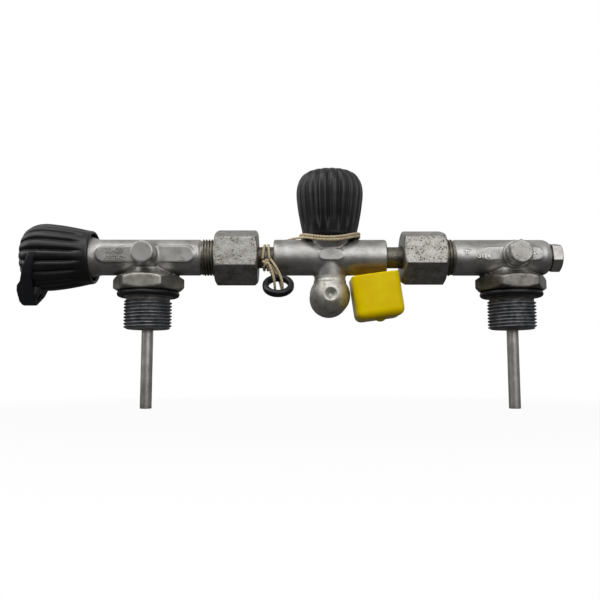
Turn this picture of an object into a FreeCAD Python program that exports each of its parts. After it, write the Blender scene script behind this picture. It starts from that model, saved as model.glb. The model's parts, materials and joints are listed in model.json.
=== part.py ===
import FreeCAD, Part
import math
import os

from FreeCAD import Vector

os.makedirs("parts", exist_ok=True)

# Twin cylinder crossover manifold with one outlet valve and a spring reserve.
# Millimetres. X runs along the crossbar to the right, Y away from the viewer, Z up.
# The origin is on the left tank thread's axis, at the top of its first full turn.

# Layout of the whole manifold
POST_SPACING = 203.2        # between the axes of the two tank threads
BAR_Z = 24.4                # crossbar axis above the top of the tank threads
BARREL_R = 10.1             # forged barrels of both posts and of the valve body

# Tank thread and neck seal
TANK_CREST_R = 13.2
TANK_ROOT_R = 12.1
TANK_PITCH = 1.814
TANK_TURNS = 8
TANK_LEAD_LENGTH = 1.1      # chamfered start below the last full turn
GLAND_R = 13.7              # smooth neck that the O-ring sits on
GLAND_TOP = 5.3             # underside of the wrench flange
RELIEF_LENGTH = 1.4         # undercut between thread and gland
CREST_SHARE = 0.22          # flat crest of every thread, as a share of its pitch
FLANGE_AF = 34.9
FLANGE_HEIGHT = 8.2
NECK_RING_SECTION_R = 1.75

# Dip tubes
DIP_TUBE_R = 3.2
DIP_BORE_R = 1.8
DIP_TUBE_END = -59.6
DIP_SOCKET_DEPTH = 10.0
PASSAGE_R = 2.5             # air passage from the dip tube up to the crossbar

# Left post: barrel, blank boss, pad and bores
FLARE_R = 12.0              # wider end of the barrel, under the knob's rim
BLANK_BOSS_R = 6.3
BLANK_BOSS_FACE = -20.0
PAD_LENGTH = 54.0
PAD_HEIGHT = 9.3
PAD_FACE = -10.5
NUMERAL_RELIEF = 0.3
BONNET_SOCKET_END = -30.7
KEYWAY_WIDTH = 2.2          # groove that keeps the push rod from turning
KEYWAY_TOP = 7.2

# Right post: burst disc port and end plug
RIGHT_BARREL_END = 21.2
RIGHT_PAD_LENGTH = 34.0
RIGHT_PAD_HEIGHT = 7.9
RIGHT_PAD_FACE = -10.2
CROSS_BORE_R = 4.0
PLUG_SOCKET_R = 6.2
PLUG_SOCKET_START = 13.5
PLUG_AF = 15.0
PLUG_HEAD = 5.8
PLUG_TURN = 46.0            # how far the plug's hexagon happened to stop
GASKET_THICKNESS = 0.7
BURST_BOSS_R = 7.6
BURST_BOSS_FACE = -13.6
BURST_SOCKET_R = 4.9
BURST_SEAT = -6.4
BURST_PASSAGE_R = 1.6
BURST_COLLAR_R = 6.75
BURST_COLLAR = 3.9
BURST_AF = 12.0
BURST_HEAD = 4.0
BURST_VENT_R = 0.9
DISC_THICKNESS = 0.4

# Union between a post and the crossover
UNION_CREST_R = 10.3
UNION_ROOT_R = 9.4
UNION_PITCH = 1.5875
LEFT_UNION_TURNS = 14
RIGHT_UNION_TURNS = 12
UNION_CLEARANCE = 0.06
NUT_AF = 28.0
NUT_LENGTH = 24.0
NUT_WALL = 5.2              # end wall that pulls the tube's collar
TUBE_R = 6.0
TUBE_BORE_R = 2.5
COLLAR_R = 9.0
COLLAR_LENGTH = 4.0
PILOT_R = 5.9
PILOT_LENGTH = 7.5
PILOT_GAP = 0.15
UNION_RING_SECTION_R = 0.9
TUBE_SOCKET_DEPTH = 10.0
VALVE_HALF_LENGTH = 31.5    # half of the valve body's barrel
VALVE_PAD_LENGTH = 13.6
VALVE_PAD_HEIGHT = 6.0
NIPPLE_SHOWN = 8.7          # bare tube between valve body and nut

# Yoke outlet below the valve body
OUTLET_DROP = 21.5          # outlet axis below the crossbar axis
OUTLET_R = 11.2
OUTLET_FACE_Y = 18.0
OUTLET_BORE_R = 2.5
OUTLET_GROOVE_R = 6.6
OUTLET_GROOVE_INNER_R = 4.0
OUTLET_GROOVE_DEPTH = 1.35
OUTLET_RING_SECTION_R = 0.89
DIMPLE_R = 3.35
DIMPLE_DEPTH = 2.4          # of the yoke screw's dimple in the rounded back

# Knobs. The grip's outline is given as (distance from the rim, radius).
KNOB_RIBS = 18
KNOB_RIB_DEPTH = 1.3
KNOB_GROOVE_R = 1.5
KNOB_LENGTH = 39.2
RIM = (0.0, 14.5)
FLANK = (11.0, 17.0)
WAIST = (23.5, 18.55)
SHOULDER = (33.6, 16.9)
CROWN = (KNOB_LENGTH, 9.4)
KNOB_CAVITY_R = 12.9
KNOB_CAVITY_DEPTH = 17.5
HUB_AF = 18.0
HUB_LENGTH = 14.3
NUT_RECESS_R = 6.8
KNOB_NUT_AF = 9.0
KNOB_NUT_HEIGHT = 3.2
KNOB_SPRING_MEAN_R = 3.4
KNOB_SPRING_WIRE_R = 0.3
KNOB_SPRING_TURNS = 2
KNOB_SPRING_ROOM = 2.4      # between hub and knob nut
STEM_R = 3.15
STEM_SQUARE = 4.3
STEM_TIP_R = 2.0
STEM_COLLAR_R = 5.6
STEM_COLLAR_TOP = 15.2
WASHER_THICKNESS = 0.8
ORING_SECTION_R = 0.9
RUNNING_GAP = 0.05

# Outlet valve, heights above the crossbar axis
VALVE_KNOB_BOTTOM = 10.4
BOSS_R = 11.6
BOSS_FOOT_R = 8.8            # the boss tapers down into the barrel
BOSS_TAPER = 8.0
BOSS_TOP = 18.5
BONNET_R = 8.5
BONNET_BOTTOM = 12.6
BONNET_AF = 20.0
BONNET_FLANGE_TOP = 24.0
BONNET_NECK_R = 5.6
BONNET_TOP = 27.4
BONNET_RING_Z = 20.0        # middle of the stem O-ring
CHAMBER_BOTTOM = -6.0
SPINDLE_R = 5.95
SPINDLE_BOTTOM = 3.0
SPINDLE_TOP = 9.0
SPINDLE_PITCH = 1.25
VALVE_TURNS = 2.5
SEAT_LIP_TOP = -4.9
SEAT_LIP_R = 3.3
SEAT_BORE_R = 2.0
SEAT_DISC_R = 3.0
VALVE_INLET_R = 3.2
SPINDLE_NOSE_R = 4.0
SPINDLE_NOSE_BOTTOM = -3.6
TONGUE_BOTTOM = 5.4         # the stem's tongue drives the slotted spindle
TONGUE_THICKNESS = 2.4
TONGUE_WIDTH = 8.0

# Reserve valve, positions along X from the left post's axis
RESERVE_KNOB_RIM = -30.6
RESERVE_BARREL_END = -37.0
RESERVE_LIFT = 1.5
ORIFICE_X = 9.0
ORIFICE_R = 2.5
POPPET_BORE_R = 5.2
RESERVE_CHAMBER_R = 5.4
RESERVE_BONNET_R = 7.5
CAM_R = 4.9
CAM_FACE = 8.0              # distance of the ramps' high end from the post's axis
CAM_SWEEP = 115.0           # angle that each ramp covers, the lever uses 90 of it
NOSE_R = 0.9                # rounded noses of the push rod, which ride on the ramps
NOSE_AT = 3.3
NOSE_GAP = 0.08
ROD_R = 1.5
POPPET_GAP = 0.02
POPPET_LENGTH = 5.6
POPPET_FACE_R = 4.0
SEAT_THICKNESS = 1.8
SPRING_END = 32.0
SPRING_WIRE_R = 0.55
SPRING_MEAN_R = 3.9
SPRING_TURNS = 7
RETAINER_LENGTH = 4.5
LEVER_SWING = 90.0
LEVER_REACH = 26.0
LEVER_EYE_THICKNESS = 4.0
KNOB_WASHER = 1.2
KNOB_WASHER_R = 5.6
LEVER_TIP_DROP = 22.7
LEVER_TIP_R = 4.5
LEVER_EYE_R = 19.2
LEVER_HOLE_R = 2.1

# Cord, pull ring and dust cap
CORD_R = 0.75
RUN_SHARE = 0.45            # part of the shorter run that each bend of a cord takes up
COIL_STEPS = 12             # corners in each turn of a spring
WINDING_STEPS = 24          # corners in each turn of the winding
WINDING_CORNERS = 38
WINDING_R = 16.8
WINDING_PITCH = 1.52
WINDING_SAG = 4.2           # lower in front of and behind the barrel than over it
WRAP_R = 7.2                # corners of the wraps round the left tube
WRAP_CORNERS = 12
WRAP_START = math.radians(-14.0)
WRAP_END = math.radians(312.0)
KNOT_R = 2.1
END_KNOT_R = 1.35
STOP_KNOT_R = 1.5
RING_INNER_R = 5.2
RING_OUTER_R = 8.6
RING_THICKNESS = 4.0
RING_EDGE = 1.2             # how far its edges are rounded
CAP_WIDTH = 26.2
CAP_HEIGHT = 24.4
CAP_DEPTH = 28.0
CAP_WALL = 1.5
CAP_TILT = -8.0
CAP_CORNER_R = 4.0
CORD_HOLE_DROP = 3.6        # hole for the cap's cord below the cap's mouth

# Places that follow from the layout
RIGHT_X = POST_SPACING
VALVE_X = POST_SPACING / 2
NUT_OUTER = VALVE_HALF_LENGTH + NIPPLE_SHOWN
NUT_INNER = NUT_OUTER + NUT_LENGTH
COLLAR_START = NUT_OUTER + NUT_WALL
POST_END = COLLAR_START + COLLAR_LENGTH
THREAD_BOTTOM = -(TANK_TURNS + CREST_SHARE) * TANK_PITCH
POST_BOTTOM = THREAD_BOTTOM - TANK_LEAD_LENGTH
FLANGE_TOP = GLAND_TOP + FLANGE_HEIGHT
SEAT_LIFT = VALVE_TURNS * SPINDLE_PITCH
POST_END_FROM_POST = VALVE_X - POST_END
PILOT_SOCKET_R = PILOT_R + PILOT_GAP
PILOT_SOCKET_START = POST_END_FROM_POST - PILOT_LENGTH - 0.5
HUB_BOTTOM = VALVE_KNOB_BOTTOM + KNOB_CAVITY_DEPTH
HUB_TOP = HUB_BOTTOM + HUB_LENGTH
KNOB_NUT_BOTTOM = HUB_TOP + KNOB_SPRING_ROOM
SLOT_BOTTOM = TONGUE_BOTTOM - SEAT_LIFT - 0.35
LEFT_BAR = Vector(0, 0, BAR_Z)
RIGHT_BAR = Vector(RIGHT_X, 0, BAR_Z)
VALVE_BAR = Vector(VALVE_X, 0, BAR_Z)
OUTLET_AT = Vector(VALVE_X, 0, BAR_Z - OUTLET_DROP)

X_AXIS = Vector(1, 0, 0)
Y_AXIS = Vector(0, 1, 0)
Z_AXIS = Vector(0, 0, 1)


def save(name, shape):
    """Writes one piece as a STEP file."""
    shape.exportStep("parts/%s.step" % name)


def stand(shape, along, at):
    """Turns a shape built along Z so that it runs along another direction, then moves it."""
    placed = shape.copy()
    placed.Placement = FreeCAD.Placement(Vector(at), FreeCAD.Rotation(Z_AXIS, Vector(along)))
    return placed


def lathe(outline, along=Z_AXIS, at=Vector(0, 0, 0)):
    """Turns an outline of (radius, distance along the axis) points into a solid."""
    points = [Vector(radius, 0, distance) for radius, distance in outline]
    face = Part.Face(Part.makePolygon(points + [points[0]]))
    return stand(face.revolve(Vector(0, 0, 0), Z_AXIS, 360), along, at)


def rod(radius, start, end, along=Z_AXIS, at=Vector(0, 0, 0)):
    """A plain cylinder from start to end along the axis."""
    cylinder = Part.makeCylinder(radius, end - start, Vector(0, 0, start))
    return stand(cylinder, along, at)


def tube(outer, inner, start, end, along=Z_AXIS, at=Vector(0, 0, 0)):
    """A cylinder with a through hole."""
    return rod(outer, start, end, along, at).cut(rod(inner, start - 1, end + 1, along, at))


def hexagon(across_flats, start, end, turn=0.0):
    """A six-sided bar along Z. With no turn a flat faces -Y."""
    corner = across_flats / math.sqrt(3)
    angles = [math.radians(60 * i + turn) for i in range(6)]
    points = [Vector(corner * math.cos(a), corner * math.sin(a), start) for a in angles]
    face = Part.Face(Part.makePolygon(points + [points[0]]))
    return face.extrude(Vector(0, 0, end - start))


def chamfered_hexagon(across_flats, start, end, turn=0.0, both_ends=True):
    """A wrench hexagon whose corners are turned down at the ends by a 30 degree cone."""
    corner = across_flats / math.sqrt(3) + 0.05
    small = across_flats / 2 - 0.3
    drop = (corner - small) * math.tan(math.radians(30))
    low = (small, start) if both_ends else (corner, start)
    cone = [(0, start), low, (corner, start + drop), (corner, end - drop), (small, end), (0, end)]
    return hexagon(across_flats, start, end, turn).common(lathe(cone))


def ring(centre_radius, section_radius, along=Z_AXIS, at=Vector(0, 0, 0)):
    """An O-ring."""
    return stand(Part.makeTorus(centre_radius, section_radius), along, at)


def thread_outline(crest, root, start, pitch, turns):
    """Outline points of V grooves with flat crests, going up from start."""
    flat = pitch * CREST_SHARE
    points = []
    for turn in range(turns):
        base = start + turn * pitch
        points += [(crest, base), (crest, base + flat)]
        points += [(root, base + flat + (pitch - flat) * 0.42)]
        points += [(root, base + flat + (pitch - flat) * 0.58)]
    end = start + turns * pitch
    return points + [(crest, end), (crest, end + flat)]


def rounded_path(points):
    """Straight runs joined by tangent arcs, each as large as its two runs allow.

    Returns the path and the radii of its arcs.
    """
    corners = [Vector(p) for p in points]
    edges = []
    radii = []
    start = corners[0]
    for before, corner, after in zip(corners, corners[1:], corners[2:]):
        back = (before - corner).normalize()
        ahead = (after - corner).normalize()
        turn = math.pi - back.getAngle(ahead)
        reach = RUN_SHARE * min(before.distanceToPoint(corner), corner.distanceToPoint(after))
        radius = reach / math.tan(turn / 2)
        bisector = (back + ahead).normalize()
        middle = corner + bisector * (radius / math.cos(turn / 2) - radius)
        arc_start = corner + back * reach
        arc_end = corner + ahead * reach
        edges.append(Part.LineSegment(start, arc_start).toShape())
        edges.append(Part.Arc(arc_start, middle, arc_end).toShape())
        radii.append(radius)
        start = arc_end
    edges.append(Part.LineSegment(start, corners[-1]).toShape())
    return Part.Wire(edges), radii


def cord(name, points):
    """A round cord along the route. Prints its length and its tightest bend."""
    path, radii = rounded_path(points)
    first, second = Vector(points[0]), Vector(points[1])
    profile = Part.Wire(Part.makeCircle(CORD_R, first, second - first))
    strand = path.makePipeShell([profile], True, False)
    print("%s: %.1f mm long, tightest bend %.1f mm, volume ratio %.4f"
          % (name, path.Length, min(radii), strand.Volume / (math.pi * CORD_R ** 2 * path.Length)))
    return strand


def coil_spring(mean_r, wire_r, start, end, turns):
    """A coil spring along Z, in short runs joined by arcs."""
    corner_r = mean_r / math.cos(math.pi / COIL_STEPS)
    points = []
    for step in range(turns * COIL_STEPS + 1):
        angle = 2 * math.pi * step / COIL_STEPS
        rise = start + wire_r + (end - start - 2 * wire_r) * step / (turns * COIL_STEPS)
        points.append((corner_r * math.cos(angle), corner_r * math.sin(angle), rise))
    path = rounded_path(points)[0]
    first, second = Vector(points[0]), Vector(points[1])
    profile = Part.Wire(Part.makeCircle(wire_r, first, second - first))
    return path.makePipeShell([profile], True, False)


def stadium(length, height, thickness, centre):
    """A flat pad with round ends. Its face looks towards -Y."""
    half = length / 2 - height / 2
    box = Part.makeBox(2 * half, thickness, height, Vector(-half, 0, -height / 2))
    ends = [rod(height / 2, 0, thickness, Y_AXIS, Vector(x, 0, 0)) for x in (-half, half)]
    pad = box.multiFuse(ends).removeSplitter()
    pad.translate(Vector(centre))
    return pad


# Seven-stroke numerals, given as (column, row, is the stroke upright)
STROKES = {
    "a": (0.5, 2, False),
    "b": (1, 1.5, True),
    "c": (1, 0.5, True),
    "d": (0.5, 0, False),
    "e": (0, 0.5, True),
    "f": (0, 1.5, True),
    "g": (0.5, 1, False),
}
NUMERALS = {
    "0": "abcdef",
    "1": "bc",
    "2": "abged",
    "3": "abgcd",
    "4": "fgbc",
    "5": "afgcd",
    "6": "afgedc",
    "7": "abc",
    "8": "abcdefg",
}


def raised_number(digits, corner, height, relief):
    """Plain raised numerals that stand out towards -Y. The corner is at the lower left."""
    column = height * 0.5
    stroke = height * 0.16
    bars = []
    for place, digit in enumerate(digits):
        left = place * height * 0.86
        for key in NUMERALS[digit]:
            across, up, upright = STROKES[key]
            wide = stroke if upright else column + stroke
            tall = height / 2 + stroke if upright else stroke
            x = left + across * column - wide / 2
            z = up * height / 2 - tall / 2
            bars.append(Part.makeBox(wide, relief, tall, Vector(x, 0, z)))
    number = bars[0].multiFuse(bars[1:]).removeSplitter()
    number.translate(Vector(corner))
    return number


def neck_outline():
    """The turned shape from the bottom of the tank thread up into the wrench flange."""
    start_r = TANK_CREST_R - TANK_LEAD_LENGTH
    outline = [(0, POST_BOTTOM), (start_r, POST_BOTTOM)]
    outline += thread_outline(TANK_CREST_R, TANK_ROOT_R, THREAD_BOTTOM, TANK_PITCH, TANK_TURNS)
    outline += [(TANK_ROOT_R, 0.4), (TANK_ROOT_R, RELIEF_LENGTH)]
    outline += [(GLAND_R, RELIEF_LENGTH + 0.4)]
    return outline + [(GLAND_R, FLANGE_TOP + 1), (0, FLANGE_TOP + 1)]


def neck_flare():
    """The curved shoulder of the forging between wrench flange and barrel."""
    foot = FLANGE_AF / 2 - 1.0
    top = BARREL_R - 0.3
    height = BAR_Z - 3.5 - FLANGE_TOP
    outline = [(0, FLANGE_TOP), (foot, FLANGE_TOP)]
    for step in range(1, 9):
        angle = math.radians(90 * step / 8)
        radius = foot - (foot - top) * math.sin(angle)
        outline.append((radius, FLANGE_TOP + height * (1 - math.cos(angle))))
    return lathe(outline + [(0, FLANGE_TOP + height)])


def post_neck(x):
    """Thread, gland, wrench flange and flare of one post."""
    flange = chamfered_hexagon(FLANGE_AF, GLAND_TOP, FLANGE_TOP)
    solid = lathe(neck_outline()).multiFuse([flange, neck_flare()])
    solid.translate(Vector(x, 0, 0))
    return solid


def neck_bores(x):
    """The dip tube's socket and the air passage above it."""
    at = Vector(x, 0, 0)
    socket = rod(DIP_TUBE_R, POST_BOTTOM - 1, POST_BOTTOM + DIP_SOCKET_DEPTH, Z_AXIS, at)
    passage = rod(PASSAGE_R, POST_BOTTOM, BAR_Z, Z_AXIS, at)
    return [socket, passage]


def union_outline(barrel_end, turns):
    """Barrel, undercut, union thread and end chamfer, along the way to the crossover."""
    thread_start = POST_END_FROM_POST - turns * UNION_PITCH
    outline = [(BARREL_R, barrel_end), (BARREL_R, thread_start - 0.9)]
    outline += [(UNION_ROOT_R, thread_start - 0.7), (UNION_ROOT_R, thread_start - 0.3)]
    outline += thread_outline(UNION_CREST_R, UNION_ROOT_R, thread_start, UNION_PITCH, turns - 1)
    return outline + [(UNION_ROOT_R, POST_END_FROM_POST), (0, POST_END_FROM_POST)]


# Left post with the reserve valve's bores

left_outline = [(0, RESERVE_BARREL_END), (FLARE_R - 0.6, RESERVE_BARREL_END)]
left_outline += [(FLARE_R, RESERVE_BARREL_END + 0.6), (FLARE_R, -33.8)]
left_outline += [(FLARE_R - 0.3, -32.2), (FLARE_R - 1.0, -30.4), (BARREL_R + 0.3, -28.6)]
left_outline += union_outline(-26.6, LEFT_UNION_TURNS)
left_barrel = lathe(left_outline, X_AXIS, LEFT_BAR)
blank_boss = lathe([(0, 0), (BLANK_BOSS_R + 2.2, 0), (BLANK_BOSS_R + 1.7, 9.6),
                    (BLANK_BOSS_R, 11.6), (BLANK_BOSS_R, -BLANK_BOSS_FACE - 0.5),
                    (BLANK_BOSS_R - 0.5, -BLANK_BOSS_FACE), (0, -BLANK_BOSS_FACE)],
                   -Y_AXIS, LEFT_BAR)
left_pad = stadium(PAD_LENGTH, PAD_HEIGHT, 5.0, Vector(-0.4, PAD_FACE, BAR_Z + 0.3))
left_marks = [
    raised_number("30427", Vector(-22.2, PAD_FACE - NUMERAL_RELIEF, BAR_Z + 1.0), 2.7,
                  NUMERAL_RELIEF + 0.2),
    raised_number("185062", Vector(-23.4, PAD_FACE - NUMERAL_RELIEF, BAR_Z - 3.2), 2.7,
                  NUMERAL_RELIEF + 0.2),
    raised_number("68", Vector(18.0, PAD_FACE - NUMERAL_RELIEF, BAR_Z - 3.2), 2.5,
                  NUMERAL_RELIEF + 0.2),
]
left_solid = left_barrel.multiFuse([post_neck(0), left_pad, blank_boss] + left_marks)
left_cuts = neck_bores(0)
left_cuts += [
    rod(RESERVE_BONNET_R, RESERVE_BARREL_END - 1, BONNET_SOCKET_END, X_AXIS, LEFT_BAR),
    rod(RESERVE_CHAMBER_R, BONNET_SOCKET_END - 1, ORIFICE_X - 3, X_AXIS, LEFT_BAR),
    rod(ORIFICE_R, ORIFICE_X - 4, ORIFICE_X + 2, X_AXIS, LEFT_BAR),
    tube(POPPET_BORE_R, ORIFICE_R + 0.7, ORIFICE_X - 0.8, ORIFICE_X + 1, X_AXIS, LEFT_BAR),
    rod(POPPET_BORE_R, ORIFICE_X, POST_END_FROM_POST + 1, X_AXIS, LEFT_BAR),
    rod(PILOT_SOCKET_R, PILOT_SOCKET_START, POST_END_FROM_POST + 1, X_AXIS, LEFT_BAR),
    Part.makeBox(ORIFICE_X - 3 - BONNET_SOCKET_END + 1, KEYWAY_WIDTH, KEYWAY_TOP,
                 Vector(BONNET_SOCKET_END - 1, -KEYWAY_WIDTH / 2, BAR_Z)),
]
left_solid = left_solid.cut(Part.makeCompound(left_cuts)).removeSplitter()
save("reserve_post_body", left_solid)

# Right post, closed at its far end, with a burst disc port at the front

right_outline = [(0, -RIGHT_BARREL_END), (BARREL_R - 2.2, -RIGHT_BARREL_END)]
right_outline += [(BARREL_R - 1.0, -RIGHT_BARREL_END + 1.2)]
right_outline += [(BARREL_R - 0.2, -RIGHT_BARREL_END + 2.9)]
right_outline += union_outline(-RIGHT_BARREL_END + 3.8, RIGHT_UNION_TURNS)
right_barrel = lathe(right_outline, -X_AXIS, RIGHT_BAR)
burst_boss = lathe([(0, 0), (BURST_BOSS_R + 1.8, 0), (BURST_BOSS_R + 1.2, 8.6),
                    (BURST_BOSS_R, 10.4), (BURST_BOSS_R, -BURST_BOSS_FACE),
                    (0, -BURST_BOSS_FACE)], -Y_AXIS, RIGHT_BAR)
right_pad = stadium(RIGHT_PAD_LENGTH, RIGHT_PAD_HEIGHT, 5.0,
                    Vector(RIGHT_X - 1.5, RIGHT_PAD_FACE, BAR_Z + 0.7))
mark_y = RIGHT_PAD_FACE - NUMERAL_RELIEF
right_marks = [
    raised_number("70", Vector(RIGHT_X - 28.0, mark_y + 0.15, BAR_Z + 0.3), 2.2,
                  NUMERAL_RELIEF + 0.6),
    raised_number("3184", Vector(RIGHT_X - 20.6, mark_y, BAR_Z - 1.8), 2.2, NUMERAL_RELIEF + 0.2),
    raised_number("26", Vector(RIGHT_X + 9.6, mark_y, BAR_Z + 0.4), 2.2, NUMERAL_RELIEF + 0.2),
]
right_solid = right_barrel.multiFuse([post_neck(RIGHT_X), right_pad, burst_boss] + right_marks)
right_cuts = neck_bores(RIGHT_X)
right_cuts += [
    rod(CROSS_BORE_R, -PLUG_SOCKET_START - 1, POST_END_FROM_POST, -X_AXIS, RIGHT_BAR),
    rod(PILOT_SOCKET_R, PILOT_SOCKET_START, POST_END_FROM_POST + 1, -X_AXIS, RIGHT_BAR),
    rod(PLUG_SOCKET_R, PLUG_SOCKET_START, RIGHT_BARREL_END + 1, X_AXIS, RIGHT_BAR),
    rod(BURST_SOCKET_R, -BURST_SEAT, -BURST_BOSS_FACE + 1, -Y_AXIS, RIGHT_BAR),
    rod(BURST_PASSAGE_R, 0, -BURST_SEAT + 1, -Y_AXIS, RIGHT_BAR),
]
right_solid = right_solid.cut(Part.makeCompound(right_cuts)).removeSplitter()
save("right_post_body", right_solid)

# Neck O-rings and dip tubes, one of each per post
for side, x in (("left", 0.0), ("right", RIGHT_X)):
    ring_z = GLAND_TOP - NECK_RING_SECTION_R
    seal = ring(GLAND_R + NECK_RING_SECTION_R, NECK_RING_SECTION_R, Z_AXIS, Vector(x, 0, ring_z))
    save(side + "_neck_oring", seal)
    top = POST_BOTTOM + DIP_SOCKET_DEPTH
    outline = [(DIP_BORE_R, DIP_TUBE_END), (DIP_TUBE_R - 0.3, DIP_TUBE_END),
               (DIP_TUBE_R, DIP_TUBE_END + 0.3), (DIP_TUBE_R, top), (DIP_BORE_R, top)]
    save(side + "_dip_tube", lathe(outline, Z_AXIS, Vector(x, 0, 0)))

# End plug, its gasket, and the burst disc assembly in the right post
plug_seat = RIGHT_BARREL_END + GASKET_THICKNESS
plug_head = chamfered_hexagon(PLUG_AF, plug_seat, plug_seat + PLUG_HEAD, PLUG_TURN, False)
plug_shank = lathe([(0, PLUG_SOCKET_START + 1.5), (PLUG_SOCKET_R - 1, PLUG_SOCKET_START + 1.5),
                    (PLUG_SOCKET_R, PLUG_SOCKET_START + 2.5), (PLUG_SOCKET_R, plug_seat + 1),
                    (0, plug_seat + 1)])
save("end_plug", stand(plug_head.fuse(plug_shank), X_AXIS, RIGHT_BAR))
save("end_plug_gasket", tube(7.2, PLUG_SOCKET_R, RIGHT_BARREL_END, plug_seat, X_AXIS, RIGHT_BAR))

collar_start = -BURST_BOSS_FACE
collar_end = collar_start + BURST_COLLAR
disc_seat = -BURST_SEAT
shank_start = disc_seat + GASKET_THICKNESS + DISC_THICKNESS
burst_outline = [(0, shank_start), (BURST_SOCKET_R, shank_start), (BURST_SOCKET_R, collar_start),
                 (BURST_COLLAR_R, collar_start), (BURST_COLLAR_R, collar_end - 0.5),
                 (BURST_COLLAR_R - 0.5, collar_end), (0, collar_end)]
burst_head = chamfered_hexagon(BURST_AF, collar_end - 0.1, collar_end + BURST_HEAD, 30, False)
burst_plug = lathe(burst_outline).fuse(burst_head)
vent_z = collar_start + BURST_COLLAR / 2
burst_plug = burst_plug.cut(rod(1.8, shank_start - 1, vent_z + 1.1))
for angle in (45, 135, 225, 315):
    way = Vector(math.cos(math.radians(angle)), math.sin(math.radians(angle)), 0)
    vent = rod(BURST_VENT_R, 0, BURST_COLLAR_R + 1, way, Vector(0, 0, vent_z))
    burst_plug = burst_plug.cut(vent)
save("burst_plug", stand(burst_plug, -Y_AXIS, RIGHT_BAR))
save("burst_gasket", tube(BURST_SOCKET_R - 0.1, 2.0, disc_seat, disc_seat + GASKET_THICKNESS,
                          -Y_AXIS, RIGHT_BAR))
save("burst_disc", rod(BURST_SOCKET_R - 0.1, disc_seat + GASKET_THICKNESS, shank_start,
                       -Y_AXIS, RIGHT_BAR))

# Crossover tubes, union nuts and union O-rings, built along the way out of the valve body
pilot_groove = POST_END + PILOT_LENGTH / 2
tube_start = VALVE_HALF_LENGTH - TUBE_SOCKET_DEPTH
groove_r = PILOT_SOCKET_R - 2 * UNION_RING_SECTION_R
crossover_outline = [
    (TUBE_BORE_R, tube_start), (TUBE_R, tube_start), (TUBE_R, COLLAR_START),
    (COLLAR_R, COLLAR_START), (COLLAR_R, POST_END), (PILOT_R, POST_END),
    (PILOT_R, pilot_groove - 1.1), (groove_r, pilot_groove - 1.1),
    (groove_r, pilot_groove + 1.1), (PILOT_R, pilot_groove + 1.1),
    (PILOT_R, POST_END + PILOT_LENGTH - 0.5), (PILOT_R - 0.5, POST_END + PILOT_LENGTH),
    (TUBE_BORE_R, POST_END + PILOT_LENGTH),
]
thread_room = UNION_CREST_R + UNION_CLEARANCE
nut_bores = [
    rod(TUBE_R + 0.2, NUT_OUTER - 1, COLLAR_START + 1),
    rod(thread_room, COLLAR_START, NUT_INNER + 1),
    lathe([(0, NUT_INNER - 1), (thread_room, NUT_INNER - 1), (thread_room + 1.2, NUT_INNER + 0.2),
           (0, NUT_INNER + 0.2)]),
]
for side, way, turn in (("left", -X_AXIS, 6.0), ("right", X_AXIS, -11.0)):
    save(side + "_crossover_tube", lathe(crossover_outline, way, VALVE_BAR))
    save(side + "_union_oring", ring(PILOT_SOCKET_R - UNION_RING_SECTION_R, UNION_RING_SECTION_R,
                                     way, VALVE_BAR + way * pilot_groove))
    nut = chamfered_hexagon(NUT_AF, NUT_OUTER, NUT_INNER, turn)
    save(side + "_union_nut", stand(nut.cut(Part.makeCompound(nut_bores)), way, VALVE_BAR))

# Outlet valve body: barrel, bonnet boss, neck and yoke outlet
valve_outline = [(0, -VALVE_HALF_LENGTH), (BARREL_R - 0.6, -VALVE_HALF_LENGTH),
                 (BARREL_R, -VALVE_HALF_LENGTH + 0.6), (BARREL_R, VALVE_HALF_LENGTH - 0.6),
                 (BARREL_R - 0.6, VALVE_HALF_LENGTH), (0, VALVE_HALF_LENGTH)]
outlet_barrel = lathe([(0, -1), (OUTLET_R, -1), (OUTLET_R, OUTLET_FACE_Y - 0.7),
                       (OUTLET_R - 0.7, OUTLET_FACE_Y), (0, OUTLET_FACE_Y)], Y_AXIS, OUTLET_AT)
outlet_ball = Part.makeSphere(OUTLET_R + 0.15, OUTLET_AT)
outlet_neck = lathe([(0, -17), (8.9, -17), (8.7, -12.5), (9.7, -2), (0, -2)], Z_AXIS, VALVE_BAR)
neck_bead = ring(8.2, 1.0, Z_AXIS, VALVE_BAR + Vector(0, 0, -13.8))
bonnet_boss = lathe([(0, 0), (BOSS_FOOT_R, 0), (BOSS_R, BOSS_TAPER), (BOSS_R, BOSS_TOP - 0.4),
                     (BOSS_R - 0.4, BOSS_TOP), (0, BOSS_TOP)], Z_AXIS, VALVE_BAR)
valve_pad = stadium(VALVE_PAD_LENGTH, VALVE_PAD_HEIGHT, 4.0,
                    Vector(VALVE_X + 0.4, -BARREL_R - 0.25, BAR_Z + 0.2))
valve_solid = lathe(valve_outline, X_AXIS, VALVE_BAR)
valve_solid = valve_solid.multiFuse([outlet_barrel, outlet_ball, outlet_neck, neck_bead,
                                     bonnet_boss, valve_pad])
dimple = lathe([(0, 0), (DIMPLE_R + 0.7, 0), (DIMPLE_R, 0.9), (0.9, DIMPLE_DEPTH + 0.9),
                (0, DIMPLE_DEPTH + 0.9)], Y_AXIS, OUTLET_AT + Vector(0, -OUTLET_R - 0.3, 0))
spindle_room = SPINDLE_R + RUNNING_GAP
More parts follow.
